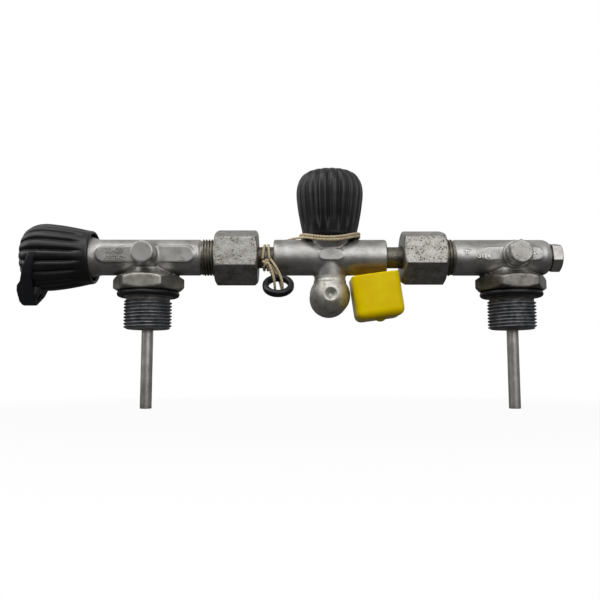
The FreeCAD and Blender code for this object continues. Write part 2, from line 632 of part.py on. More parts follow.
valve_cuts = [
    rod(BONNET_R, BONNET_BOTTOM - 0.4, BOSS_TOP + 1, Z_AXIS, VALVE_BAR),
    rod(spindle_room, CHAMBER_BOTTOM, BOSS_TOP, Z_AXIS, VALVE_BAR)
    .cut(tube(SEAT_LIP_R, SEAT_BORE_R, CHAMBER_BOTTOM - 1, SEAT_LIP_TOP, Z_AXIS, VALVE_BAR)),
    rod(SEAT_BORE_R, -OUTLET_DROP, CHAMBER_BOTTOM + 1, Z_AXIS, VALVE_BAR),
    rod(OUTLET_BORE_R, -1, OUTLET_FACE_Y + 1, Y_AXIS, OUTLET_AT),
    tube(OUTLET_GROOVE_R, OUTLET_GROOVE_INNER_R, OUTLET_FACE_Y - OUTLET_GROOVE_DEPTH,
         OUTLET_FACE_Y + 1, Y_AXIS, OUTLET_AT),
    rod(OUTLET_GROOVE_INNER_R + 0.2, OUTLET_FACE_Y - 0.4, OUTLET_FACE_Y + 1, Y_AXIS, OUTLET_AT),
    dimple,
]
for way in (-X_AXIS, X_AXIS):
    valve_cuts.append(rod(TUBE_R, tube_start, VALVE_HALF_LENGTH + 1, way, VALVE_BAR))
    valve_cuts.append(rod(VALVE_INLET_R, 0, tube_start + 1, way, VALVE_BAR))
valve_solid = valve_solid.cut(Part.makeCompound(valve_cuts)).removeSplitter()
save("valve_body", valve_solid)

outlet_ring_y = OUTLET_FACE_Y - OUTLET_GROOVE_DEPTH + OUTLET_RING_SECTION_R
save("outlet_oring", ring(OUTLET_GROOVE_R - OUTLET_RING_SECTION_R - 0.05, OUTLET_RING_SECTION_R,
                          Y_AXIS, OUTLET_AT + Vector(0, outlet_ring_y, 0)))

# Outlet valve's inner parts, heights above the crossbar axis
stem_room = STEM_R + RUNNING_GAP
collar_room_top = STEM_COLLAR_TOP + WASHER_THICKNESS
bonnet_seat = BOSS_TOP + GASKET_THICKNESS
gland_r = STEM_R + 2 * ORING_SECTION_R


def bonnet(shank_r, along, at):
    """A packing bonnet: hexagon, shank, stem bore and the O-ring's gland."""
    turned = lathe([
        (stem_room, collar_room_top), (STEM_COLLAR_R + 0.2, collar_room_top),
        (STEM_COLLAR_R + 0.2, BONNET_BOTTOM), (shank_r - 0.5, BONNET_BOTTOM),
        (shank_r, BONNET_BOTTOM + 0.5), (shank_r, BONNET_FLANGE_TOP - 1),
        (BONNET_NECK_R, BONNET_FLANGE_TOP - 1), (BONNET_NECK_R, BONNET_TOP),
        (stem_room, BONNET_TOP),
    ])
    head = chamfered_hexagon(BONNET_AF, bonnet_seat, BONNET_FLANGE_TOP, 0, False)
    head = head.cut(rod(stem_room, bonnet_seat - 1, BONNET_FLANGE_TOP + 1))
    gland = tube(gland_r, 0.5, BONNET_RING_Z - 1.15, BONNET_RING_Z + 1.15)
    return stand(turned.fuse(head).cut(gland), along, at)


save("valve_bonnet", bonnet(BONNET_R, Z_AXIS, VALVE_BAR))
save("bonnet_gasket", tube(BOSS_R - 0.4, BONNET_R, BOSS_TOP, bonnet_seat, Z_AXIS, VALVE_BAR))
save("stem_oring", ring(STEM_R + ORING_SECTION_R, ORING_SECTION_R, Z_AXIS,
                        VALVE_BAR + Vector(0, 0, BONNET_RING_Z)))
save("stem_washer", tube(STEM_COLLAR_R, stem_room, STEM_COLLAR_TOP, collar_room_top,
                         Z_AXIS, VALVE_BAR))


def stem_square(start, end):
    """The square part of a stem, its corners turned down to the stem's radius."""
    corner = Vector(-STEM_SQUARE / 2, -STEM_SQUARE / 2, start)
    bar = Part.makeBox(STEM_SQUARE, STEM_SQUARE, end - start, corner)
    return bar.common(rod(STEM_R, start, end))


# The stem turns in place and its tongue drives the slotted seat spindle.
stem_solid = rod(STEM_R, STEM_COLLAR_TOP - 1, HUB_BOTTOM)
stem_solid = stem_solid.multiFuse([
    rod(STEM_COLLAR_R, STEM_COLLAR_TOP - 1.8, STEM_COLLAR_TOP),
    stem_square(HUB_BOTTOM - 0.5, HUB_TOP - 0.3),
    rod(STEM_TIP_R, HUB_TOP - 0.5, KNOB_NUT_BOTTOM + KNOB_NUT_HEIGHT + 0.8),
    Part.makeBox(TONGUE_THICKNESS, TONGUE_WIDTH, STEM_COLLAR_TOP - 1.5 - TONGUE_BOTTOM,
                 Vector(-TONGUE_THICKNESS / 2, -TONGUE_WIDTH / 2, TONGUE_BOTTOM)),
]).removeSplitter()
save("valve_stem", stand(stem_solid, Z_AXIS, VALVE_BAR))

spindle = lathe([(0, SPINDLE_NOSE_BOTTOM + 0.6), (SEAT_DISC_R, SPINDLE_NOSE_BOTTOM + 0.6),
                 (SEAT_DISC_R, SPINDLE_NOSE_BOTTOM), (SPINDLE_NOSE_R, SPINDLE_NOSE_BOTTOM),
                 (SPINDLE_NOSE_R, SPINDLE_BOTTOM - 0.8), (SPINDLE_R, SPINDLE_BOTTOM),
                 (SPINDLE_R, SPINDLE_TOP - 0.4), (SPINDLE_R - 0.4, SPINDLE_TOP), (0, SPINDLE_TOP)])
slot = Part.makeBox(TONGUE_THICKNESS + 0.2, TONGUE_WIDTH + 0.3, SPINDLE_TOP - SLOT_BOTTOM + 1,
                    Vector(-TONGUE_THICKNESS / 2 - 0.1, -TONGUE_WIDTH / 2 - 0.15, SLOT_BOTTOM))
save("seat_spindle", stand(spindle.cut(slot), Z_AXIS, VALVE_BAR))
save("seat_disc", rod(SEAT_DISC_R, SEAT_LIP_TOP, SPINDLE_NOSE_BOTTOM + 0.6, Z_AXIS, VALVE_BAR))

# Knobs: a ribbed rubber grip over a six-sided hub that sits on the stem's square


def groove(arc):
    """A round-bottomed groove that follows an arc."""
    edge = arc.toShape()
    centre = edge.Curve.Center
    start = edge.valueAt(edge.FirstParameter)
    end = edge.valueAt(edge.LastParameter)
    circle = Part.makeCircle(KNOB_GROOVE_R, start, edge.tangentAt(edge.FirstParameter))
    axis = (start - centre).cross(end - centre).normalize()
    sweep = math.degrees((start - centre).getAngle(end - centre))
    return Part.Face(Part.Wire(circle)).revolve(centre, axis, sweep)


def ribbed_grip():
    """The grip's outer form from the open rim along Z: a turned body with grooves between ribs."""

    def place(spot, lift=0.0):
        return Vector(spot[1] + lift, 0, spot[0])

    side = Part.Arc(place(RIM), place(FLANK), place(WAIST)).toShape()
    dome = Part.Arc(place(WAIST), place(SHOULDER), place(CROWN)).toShape()
    bottom = Part.makeLine(Vector(0, 0, 0), place(RIM))
    top = Part.makeLine(place(CROWN), Vector(0, 0, KNOB_LENGTH))
    axis = Part.makeLine(Vector(0, 0, KNOB_LENGTH), Vector(0, 0, 0))
    outline = Part.Face(Part.Wire([bottom, side, dome, top, axis]))
    body = outline.revolve(Vector(0, 0, 0), Z_AXIS, 360)
    shallow = KNOB_GROOVE_R - 0.15
    deep = KNOB_GROOVE_R - KNOB_RIB_DEPTH
    low = groove(Part.Arc(place(RIM, shallow), place(FLANK, deep + 0.15), place(WAIST, deep)))
    high = groove(Part.Arc(place(WAIST, deep), place(SHOULDER, deep + 0.25),
                           place(CROWN, KNOB_GROOVE_R - 0.6)))
    both = low.fuse(high)
    grooves = []
    for rib in range(KNOB_RIBS):
        turned = both.copy()
        turned.rotate(Vector(0, 0, 0), Z_AXIS, 360 * rib / KNOB_RIBS)
        grooves.append(turned)
    return body.cut(Part.makeCompound(grooves))


def grip(hub_length):
    """A grip with room inside for the bonnet, the hub and the knob nut."""
    hub_end = KNOB_CAVITY_DEPTH + hub_length
    return ribbed_grip().cut(Part.makeCompound([
        rod(KNOB_CAVITY_R, -1, KNOB_CAVITY_DEPTH),
        hexagon(HUB_AF, KNOB_CAVITY_DEPTH - 0.5, hub_end),
        rod(NUT_RECESS_R, hub_end - 1, KNOB_LENGTH + 1),
    ]))


def hub(length):
    """The six-sided hub with its square hole, from its open end along Z."""
    return chamfered_hexagon(HUB_AF, 0, length).cut(stem_square(-1, length + 1))


knob_at = VALVE_BAR + Vector(0, 0, VALVE_KNOB_BOTTOM)
save("valve_knob", stand(grip(HUB_LENGTH), Z_AXIS, knob_at))
save("valve_knob_hub", stand(hub(HUB_LENGTH), Z_AXIS, VALVE_BAR + Vector(0, 0, HUB_BOTTOM)))


def knob_nut(start):
    """The nut on the stem's threaded tip."""
    body = chamfered_hexagon(KNOB_NUT_AF, start, start + KNOB_NUT_HEIGHT)
    return body.cut(rod(STEM_TIP_R, start - 1, start + KNOB_NUT_HEIGHT + 1))


knob_spring = coil_spring(KNOB_SPRING_MEAN_R, KNOB_SPRING_WIRE_R, HUB_TOP, KNOB_NUT_BOTTOM,
                          KNOB_SPRING_TURNS)
save("valve_knob_spring", stand(knob_spring, Z_AXIS, VALVE_BAR))
save("valve_knob_nut", stand(knob_nut(KNOB_NUT_BOTTOM), Z_AXIS, VALVE_BAR))

# Reserve valve at the left end. Its pieces are built along Z and laid along -X,
# so distances here grow away from the post.
LEFT_WAY = -X_AXIS
RESERVE_SHIFT = -RESERVE_BARREL_END - BOSS_TOP
reserve_at = LEFT_BAR + LEFT_WAY * RESERVE_SHIFT
save("reserve_bonnet", bonnet(RESERVE_BONNET_R, LEFT_WAY, reserve_at))
save("reserve_bonnet_gasket", tube(FLARE_R - 0.8, RESERVE_BONNET_R, BOSS_TOP, bonnet_seat,
                                   LEFT_WAY, reserve_at))
save("reserve_stem_oring", ring(STEM_R + ORING_SECTION_R, ORING_SECTION_R, LEFT_WAY,
                                reserve_at + LEFT_WAY * BONNET_RING_Z))
save("reserve_stem_washer", tube(STEM_COLLAR_R - 0.6, stem_room, STEM_COLLAR_TOP,
                                 collar_room_top, LEFT_WAY, reserve_at))

# The stem's inner end carries two ramps that push the poppet's rod as the lever turns.
reserve_hub_start = -RESERVE_KNOB_RIM + KNOB_CAVITY_DEPTH
reserve_hub_length = HUB_LENGTH - LEVER_EYE_THICKNESS
reserve_hub_end = reserve_hub_start + reserve_hub_length
reserve_eye_end = reserve_hub_end + LEVER_EYE_THICKNESS
reserve_nut_start = reserve_eye_end + KNOB_WASHER
ramp_rise = RESERVE_LIFT * CAM_SWEEP / LEVER_SWING
reserve_collar_top = RESERVE_SHIFT + STEM_COLLAR_TOP


def ramp_room(turn):
    """The room in front of one ramp, which falls back as the angle goes down from its end."""
    inner = 1.6
    outer = CAM_R + 0.6
    pitch = RESERVE_LIFT * 360 / LEVER_SWING
    helix = Part.makeHelix(pitch, ramp_rise, outer)
    edge = Part.makeLine(Vector(inner, 0, 0), Vector(outer, 0, 0))
    surface = Part.Wire(helix.Edges).makePipeShell([Part.Wire(edge)], False, True)
    room = surface.Faces[0].extrude(Vector(0, 0, -(ramp_rise + 2)))
    room = room.mirror(Vector(0, 0, 0), Y_AXIS)
    room.rotate(Vector(0, 0, 0), Z_AXIS, turn + CAM_SWEEP)
    room.translate(Vector(0, 0, CAM_FACE))
    return room


cam_start = 90.0 + 3.0 - CAM_SWEEP
reserve_stem = rod(CAM_R, CAM_FACE, reserve_collar_top).multiFuse([
    rod(STEM_R, reserve_collar_top - 1, reserve_hub_start),
    stem_square(reserve_hub_start - 0.5, reserve_nut_start - 0.4),
    rod(STEM_TIP_R, reserve_nut_start - 0.5, reserve_nut_start + KNOB_NUT_HEIGHT + 0.8),
]).removeSplitter()
reserve_stem = reserve_stem.cut(rod(1.8, CAM_FACE - 1, CAM_FACE + ramp_rise + 1))
cam_rooms = Part.makeCompound([ramp_room(cam_start), ramp_room(cam_start + 180)])
save("reserve_stem", stand(reserve_stem.cut(cam_rooms), LEFT_WAY, LEFT_BAR))

# Push rod: a keyed disc with two noses on the ramps and a rod through the orifice
nose_tip = CAM_FACE + RESERVE_LIFT * 3.0 / LEVER_SWING - NOSE_GAP
disc_face = nose_tip - 2.5
disc_back = disc_face - 1.7
poppet_front = ORIFICE_X + RESERVE_LIFT + POPPET_GAP
push_rod = rod(CAM_R, disc_back, disc_face).multiFuse([
    rod(ROD_R, -poppet_front - 5.0, disc_back + 0.5),
    Part.makeBox(3.0, KEYWAY_WIDTH - 0.2, disc_face - disc_back,
                 Vector(KEYWAY_TOP - 0.3 - 3.0, -KEYWAY_WIDTH / 2 + 0.1, disc_back)),
] + [rod(NOSE_R, disc_face - 0.5, nose_tip - NOSE_R, Z_AXIS, Vector(0, y, 0))
     for y in (-NOSE_AT, NOSE_AT)]
  + [Part.makeSphere(NOSE_R, Vector(0, y, nose_tip - NOSE_R)) for y in (-NOSE_AT, NOSE_AT)])
save("reserve_push_rod", stand(push_rod.removeSplitter(), LEFT_WAY, LEFT_BAR))

# Poppet with its soft seat, spring and screwed-in spring retainer, along +X
poppet_back = poppet_front + POPPET_LENGTH
seat_back = poppet_front + SEAT_THICKNESS
poppet = lathe([(ROD_R, seat_back), (POPPET_FACE_R, seat_back),
                (POPPET_FACE_R, poppet_front + 0.4), (POPPET_BORE_R - 0.1, poppet_front + 0.4),
                (POPPET_BORE_R - 0.1, poppet_back), (2.6, poppet_back), (2.6, poppet_back + 2.4),
                (0, poppet_back + 2.4), (0, poppet_front + 5.0), (ROD_R, poppet_front + 5.0)])
for angle in (60, 180, 300):
    place = Vector(5.6 * math.cos(math.radians(angle)), 5.6 * math.sin(math.radians(angle)), 0)
    poppet = poppet.cut(rod(1.3, poppet_front, poppet_back + 1, Z_AXIS, place))
save("reserve_poppet", stand(poppet, X_AXIS, LEFT_BAR))
save("reserve_seat_disc", tube(POPPET_FACE_R, ROD_R, poppet_front, seat_back, X_AXIS, LEFT_BAR))
spring = coil_spring(SPRING_MEAN_R, SPRING_WIRE_R, poppet_back, SPRING_END, SPRING_TURNS)
save("reserve_spring", stand(spring, X_AXIS, LEFT_BAR))
retainer = tube(POPPET_BORE_R, 2.4, SPRING_END, SPRING_END + RETAINER_LENGTH)
driver_slot = Part.makeBox(1.6, 12, 1.5, Vector(-0.8, -6, SPRING_END + RETAINER_LENGTH - 1.3))
retainer = retainer.cut(driver_slot)
save("reserve_spring_retainer", stand(retainer, X_AXIS, LEFT_BAR))

# Lever: a tapered plate that comes out of the grip's dome and ends in a hole for a pull rod


def side_plate(points, half_width):
    """A plate across Y. Its outline is given as (distance outwards from the eye, height)."""
    corners = [Vector(-reserve_eye_end - out, -half_width, BAR_Z + up) for out, up in points]
    face = Part.Face(Part.makePolygon(corners + [corners[0]]))
    return face.extrude(Vector(0, 2 * half_width, 0))


def lever_outline(eye_r, tip_r, drop):
    """The pear shape seen along X, from the eye round the axis down to the tip."""
    lean = math.asin((eye_r - tip_r) / drop)
    across, along = math.cos(lean), math.sin(lean)
    right = Vector(0, across * eye_r, -along * eye_r)
    low = Vector(0, across * tip_r, -along * tip_r - drop)
    other_right = Vector(0, -right.y, right.z)
    other_low = Vector(0, -low.y, low.z)
    edges = [
        Part.Arc(other_right, Vector(0, 0, eye_r), right).toShape(),
        Part.makeLine(right, low),
        Part.Arc(low, Vector(0, 0, -drop - tip_r), other_low).toShape(),
        Part.makeLine(other_low, other_right),
    ]
    face = Part.Face(Part.Wire(edges))
    prism = face.extrude(Vector(-40, 0, 0))
    prism.translate(Vector(-45, 0, BAR_Z))
    return prism


pear = lever_outline(LEVER_EYE_R, LEVER_TIP_R, LEVER_TIP_DROP)
blade = side_plate([(-5.6, 0.5), (-1.8, 0.5), (4.9, -14.6), (7.4, -17.0), (8.3, -20.0),
                    (8.3, -25.0), (6.7, -28.0), (0.0, -28.0), (-1.4, -15.0)],
                   LEVER_REACH).common(pear)
web = side_plate([(-6.9, -13.0), (-4.4, -17.6), (-0.2, -26.0), (1.8, -28.0), (3.0, -13.0)],
                 6.5).common(pear)
arm = side_plate([(-4.0, -2.5), (0.0, -2.5), (4.6, -14.2), (-1.6, -14.2)], 5.0)
eye = rod(NUT_RECESS_R - 0.1, reserve_hub_end, reserve_eye_end, LEFT_WAY, LEFT_BAR)
lever_body = blade.multiFuse([web, arm])
lever = lever_body.fuse(eye)
hub_room = stand(hexagon(HUB_AF, reserve_hub_start - 1, reserve_hub_end), LEFT_WAY, LEFT_BAR)
nut_room = rod(NUT_RECESS_R, reserve_eye_end, 80, LEFT_WAY, LEFT_BAR)
square_room = stand(stem_square(50, 70), LEFT_WAY, LEFT_BAR)
rod_hole = rod(LEVER_HOLE_R, 50, 80, LEFT_WAY, LEFT_BAR + Vector(0, 0, -LEVER_TIP_DROP))
lever = lever.cut(Part.makeCompound([hub_room, nut_room])).cut(square_room).cut(rod_hole)
save("reserve_lever", lever.removeSplitter())

grip_at = LEFT_BAR + LEFT_WAY * -RESERVE_KNOB_RIM
save("reserve_knob", stand(grip(reserve_hub_length), LEFT_WAY, grip_at).cut(lever_body))
save("reserve_knob_hub", stand(hub(reserve_hub_length), LEFT_WAY,
                               LEFT_BAR + LEFT_WAY * reserve_hub_start))
save("reserve_knob_washer", tube(KNOB_WASHER_R, STEM_R + 0.2, reserve_eye_end, reserve_nut_start,
                                 LEFT_WAY, LEFT_BAR))
save("reserve_knob_nut", stand(knob_nut(reserve_nut_start), LEFT_WAY, LEFT_BAR))


def winding_point(turn):
    """A place on the winding after so many turns. It sags in front of and behind the barrel."""
    angle = 2 * math.pi * turn
    sag = math.sin(angle) ** 2
    radius = WINDING_R - 1.2 * sag
    height = BARREL_R + 1.7 + WINDING_PITCH * turn - WINDING_SAG * sag
    return (VALVE_X + radius * math.cos(angle), radius * math.sin(angle), BAR_Z + height)


def at_bar(points):
    """Points whose heights are given above the crossbar's axis."""
    return [(x, y, BAR_Z + z) for x, y, z in points]


# Neck cord: wound loosely under the knob, with one end led over the barrel to the left tube
lead = at_bar([(67.7, 8.8, -2.2), (67.8, 9.0, 1.2), (68.6, 8.9, 4.8), (70.6, 8.2, 8.2),
               (74.2, 6.8, 10.2), (78.6, 4.8, 11.2), (82.4, 1.6, 11.5)])
winding = [winding_point(-0.5 + (i + 0.5) / WINDING_STEPS) for i in range(WINDING_CORNERS)]
last = Vector(*winding[-1])
loose_end = last + Vector(-0.4, 3.6, -1.9)
neck_strand = cord("neck_cord", lead + winding + [loose_end])
end_knot = Part.makeSphere(END_KNOT_R, loose_end + (loose_end - last).normalize() * 0.7)
save("neck_cord", neck_strand.fuse(end_knot))

# Lanyard: two wraps round the left tube, a knot in front, and a doubled cord through the ring
KNOT_AT = Vector(65.9, -9.0, BAR_Z - 4.2)


def wrap(name, x_front, x_top, x_end):
    """One wrap that leaves the knot upwards, goes over and behind the tube and comes back below."""
    points = []
    for corner in range(WRAP_CORNERS):
        share = corner / (WRAP_CORNERS - 1)
        angle = WRAP_START + (WRAP_END - WRAP_START) * share
        radius = WRAP_R + 0.9 * (2 * share - 1) ** 8
        x = x_front + (x_top - x_front) * min(1.0, share * 4) + (x_end - x_top) * share ** 2
        points.append((x, -radius * math.cos(angle), radius * math.sin(angle)))
    return cord(name, at_bar(points))


wraps = [wrap("left wrap", 64.0, 65.2, 64.6), wrap("right wrap", 67.9, 67.1, 66.7)]
save("lanyard_wraps", Part.makeCompound(wraps))
save("lanyard_knot", Part.makeSphere(KNOT_R, KNOT_AT))
ring_at = Vector(73.0, -14.0, BAR_Z - 17.7)
ring_way = Vector(0, -1, 1)
side = RING_THICKNESS / 2
ring_outline = [(RING_INNER_R, -side + RING_EDGE), (RING_INNER_R + 0.4, -side + 0.35),
                (RING_INNER_R + RING_EDGE, -side), (RING_OUTER_R - RING_EDGE, -side),
                (RING_OUTER_R - 0.35, -side + 0.4), (RING_OUTER_R, -side + RING_EDGE),
                (RING_OUTER_R, side - RING_EDGE), (RING_OUTER_R - 0.35, side - 0.4),
                (RING_OUTER_R - RING_EDGE, side), (RING_INNER_R + RING_EDGE, side),
                (RING_INNER_R + 0.4, side - 0.35), (RING_INNER_R, side - RING_EDGE)]
save("pull_ring", lathe(ring_outline, ring_way, ring_at))
strand_left = at_bar([(67.5, -11.6, -4.6), (68.8, -12.8, -7.4), (70.0, -14.2, -10.8),
                      (70.9, -14.9, -14.6), (71.2, -13.2, -18.2), (71.2, -9.6, -19.9),
                      (71.0, -6.2, -18.0), (70.5, -5.0, -14.2), (69.4, -6.2, -10.4),
                      (67.8, -8.6, -7.6)])
strand_right = at_bar([(68.6, -10.7, -2.6), (71.2, -12.4, -6.2), (73.4, -14.0, -10.4),
                       (75.0, -15.0, -14.8), (75.4, -13.2, -18.4), (75.2, -9.6, -20.0),
                       (74.6, -6.2, -18.2), (73.6, -4.9, -14.2), (71.8, -6.2, -10.2),
                       (69.6, -8.4, -7.0), (68.5, -10.0, -5.6)])
strands = [cord("left strand", strand_left), cord("right strand", strand_right)]
save("lanyard_cord", Part.makeCompound(strands))

# Dust cap: a soft pocket that hangs open side up under the barrel, on a cord from the winding
cap_centre = Vector(VALVE_X + 26.0, 0, BAR_Z - 22.5)
outer_box = Part.makeBox(CAP_WIDTH, CAP_DEPTH, CAP_HEIGHT,
                         Vector(-CAP_WIDTH / 2, -CAP_DEPTH / 2, -CAP_HEIGHT / 2))
inner_box = Part.makeBox(CAP_WIDTH - 2 * CAP_WALL, CAP_DEPTH - 2 * CAP_WALL, CAP_HEIGHT + 10,
                         Vector(-CAP_WIDTH / 2 + CAP_WALL, -CAP_DEPTH / 2 + CAP_WALL,
                                -CAP_HEIGHT / 2 + CAP_WALL))


def round_pocket(box, radius, top):
    """Rounds the upright and the bottom edges of a box, and leaves its top edges sharp."""
    edges = [e for e in box.Edges if min(v.Z for v in e.Vertexes) < top - 0.1]
    return box.makeFillet(radius, edges)


pocket = round_pocket(outer_box, CAP_CORNER_R, CAP_HEIGHT / 2)
nub = Part.makeSphere(4.2, Vector(0.6, 0, -CAP_HEIGHT / 2 + 2.6))
pocket = pocket.fuse(nub)
pocket = pocket.cut(round_pocket(inner_box, CAP_CORNER_R - CAP_WALL, CAP_HEIGHT / 2 + 10))
cord_hole = rod(CORD_R + 0.05, 8, 20, Y_AXIS, Vector(0, 0, CAP_HEIGHT / 2 - CORD_HOLE_DROP))
pocket = pocket.cut(cord_hole)
pocket.rotate(Vector(0, 0, 0), Y_AXIS, CAP_TILT)
pocket.translate(cap_centre)
save("dust_cap", pocket)
tilt = math.radians(-CAP_TILT)
hole_up = CAP_HEIGHT / 2 - CORD_HOLE_DROP
hole_x = cap_centre.x - hole_up * math.sin(tilt)
hole_z = cap_centre.z + hole_up * math.cos(tilt)
low_strand = Vector(*winding_point(0.14))
cord_top = low_strand + Vector(0.5, 1.1, -1.15)
back_y = CAP_DEPTH / 2
cap_route = [cord_top, cord_top + Vector(1.3, 0.9, -2.6), cord_top + Vector(4.0, 1.8, -6.4),
             (hole_x - 3.2, back_y + 2.5, hole_z + 9.6), (hole_x - 0.6, back_y + 3.4, hole_z + 4.8),
             (hole_x, back_y + 1.5, hole_z), (hole_x, back_y - CAP_WALL - 1.2, hole_z)]
cap_strand = cord("cap_cord", cap_route)
stopper = Part.makeSphere(STOP_KNOT_R, Vector(hole_x, back_y - CAP_WALL - 1.6, hole_z))
save("cap_cord", cap_strand.fuse(stopper))
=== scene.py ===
# %% [markdown]
# # Dressing a scuba manifold
# This lesson takes the measured model of a diving manifold and gives it the looks of the real
# one: a worn, plated forging with rubber knobs, a yellow dust cap and a bit of cord.
# The measured model is loaded first. It is the frame that everything else is hung on.
# %% Load the frame
import json
import math
import bmesh
import bpy
from mathutils import Matrix, Vector


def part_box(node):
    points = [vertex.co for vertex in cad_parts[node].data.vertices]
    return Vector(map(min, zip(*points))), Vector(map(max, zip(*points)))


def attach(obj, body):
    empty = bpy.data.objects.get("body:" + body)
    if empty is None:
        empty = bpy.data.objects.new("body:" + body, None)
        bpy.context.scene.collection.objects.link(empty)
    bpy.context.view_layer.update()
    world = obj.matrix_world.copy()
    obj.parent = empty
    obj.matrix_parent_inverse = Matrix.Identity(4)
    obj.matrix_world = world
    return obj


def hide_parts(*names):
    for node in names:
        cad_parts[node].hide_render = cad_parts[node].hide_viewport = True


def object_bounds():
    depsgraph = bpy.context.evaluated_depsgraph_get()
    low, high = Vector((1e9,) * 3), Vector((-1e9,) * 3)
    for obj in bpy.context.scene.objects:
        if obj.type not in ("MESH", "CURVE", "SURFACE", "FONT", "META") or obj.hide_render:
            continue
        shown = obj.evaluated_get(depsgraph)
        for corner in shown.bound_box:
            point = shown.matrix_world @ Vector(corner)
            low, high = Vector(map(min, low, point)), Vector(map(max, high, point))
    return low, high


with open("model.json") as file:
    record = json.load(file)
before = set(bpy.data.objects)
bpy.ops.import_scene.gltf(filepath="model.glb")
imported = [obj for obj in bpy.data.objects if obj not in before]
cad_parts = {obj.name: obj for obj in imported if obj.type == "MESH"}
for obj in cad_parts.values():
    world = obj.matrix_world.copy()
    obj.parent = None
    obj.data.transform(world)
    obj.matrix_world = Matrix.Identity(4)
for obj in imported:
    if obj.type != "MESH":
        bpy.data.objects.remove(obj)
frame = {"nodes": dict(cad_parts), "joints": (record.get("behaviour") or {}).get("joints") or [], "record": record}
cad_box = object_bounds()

nodes = frame["nodes"]
body_of = {node: body for body, members in frame["record"]["behaviour"]["bodies"].items()
           for node in members}
slot_of = {part["node"]: part["material_slot"] for part in frame["record"]["subparts"]}
joints = {joint["name"]: joint for joint in frame["joints"]}
mounts = {mount["name"]: mount for mount in frame["record"]["mounts"]}
print("frame:", len(nodes), "nodes")

# %% [markdown]
# Every place below is worked out from a few facts of the frame: the axis of the crossbar, the
# three upright axes, and the boxes of the pieces. Millimetres are easier to think in, so `MM`
# turns them into Blender's metres.
# %% Places taken from the frame
MM = 0.001
valve_axis = Vector(joints["valve_knob_turn"]["pos_m"])
BAR_Z = valve_axis.z
VALVE_X = valve_axis.x
RIGHT_X = mounts["right_tank_thread"]["pos_m"][0]
THREAD_R = mounts["left_tank_thread"]["dims"]["r_mm"] * MM
LOW = cad_box[0].z
print("crossbar height", round(BAR_Z / MM, 2), "mm, lowest point", round(LOW / MM, 2), "mm")

# %% [markdown]
# ## The camera comes first
# A camera can be solved from a photograph: a few points whose real places are known are
# matched with their pixels until the errors are smallest. The result is a camera a little
# below the bar, about 0.39 m away, looking slightly up. Its values are written as a real place
# in millimetres, so the lens and the distance can be read like a photographer's notes.
# %% Camera
CAMERA_AT = Vector((83.37, -386.81, -42.30)) * MM
CAMERA_AIM = Vector((84.82, 0.0, 0.46)) * MM
LENS = 41.74

camera_data = bpy.data.cameras.new("portrait camera")
camera_data.lens = LENS
camera_data.sensor_width = 36.0
camera_data.sensor_fit = "HORIZONTAL"
camera_data.clip_start = 0.01
camera = bpy.data.objects.new("portrait camera", camera_data)
camera.location = CAMERA_AT
camera.rotation_euler = (CAMERA_AIM - CAMERA_AT).to_track_quat("-Z", "Y").to_euler()
bpy.context.scene.collection.objects.link(camera)
bpy.context.scene.camera = camera
bpy.context.scene.view_settings.view_transform = "Standard"
print("camera distance", round((CAMERA_AIM - CAMERA_AT).length, 3), "m")

# %% [markdown]
# ## Small helpers
# Colours are picked from paint charts or screens as sRGB hex values, but shaders calculate in
# linear light, so one function converts them. A second function adds a node to any tree, with
# its settings and its links, so that a recipe reads from top to bottom like a list of steps.
# %% Helpers for colours and nodes


def linear(hex_colour):
    """An sRGB colour such as #C0A070 as the linear RGBA that a shader wants."""
    channels = [int(hex_colour[i:i + 2], 16) / 255 for i in (1, 3, 5)]
    curve = [c / 12.92 if c <= 0.04045 else ((c + 0.055) / 1.055) ** 2.4 for c in channels]
    return (*curve, 1.0)


def add(tree, kind, inputs=None, **settings):
    """Adds a node. An input is given a plain value, a socket, or a node for its first output."""
    node = tree.nodes.new(kind)
    for name, value in settings.items():
        setattr(node, name, value)
    for key, value in (inputs or {}).items():
        if isinstance(value, bpy.types.Node):
            value = next(socket for socket in value.outputs if socket.enabled)
        if isinstance(value, bpy.types.NodeSocket):
            tree.links.new(value, node.inputs[key])
        else:
            node.inputs[key].default_value = value
    return node


def blank_material(name):
    """A material with an empty tree, and the object's own coordinates in that tree."""
    material = bpy.data.materials.new(name)
    material.use_nodes = True
    tree = material.node_tree
    tree.nodes.clear()
    place = add(tree, "ShaderNodeTexCoord").outputs["Object"]
    return material, tree, place


def per(size_mm):
    """The texture scale at which a pattern repeats about once in so many millimetres."""
    return 1.0 / (size_mm * MM)
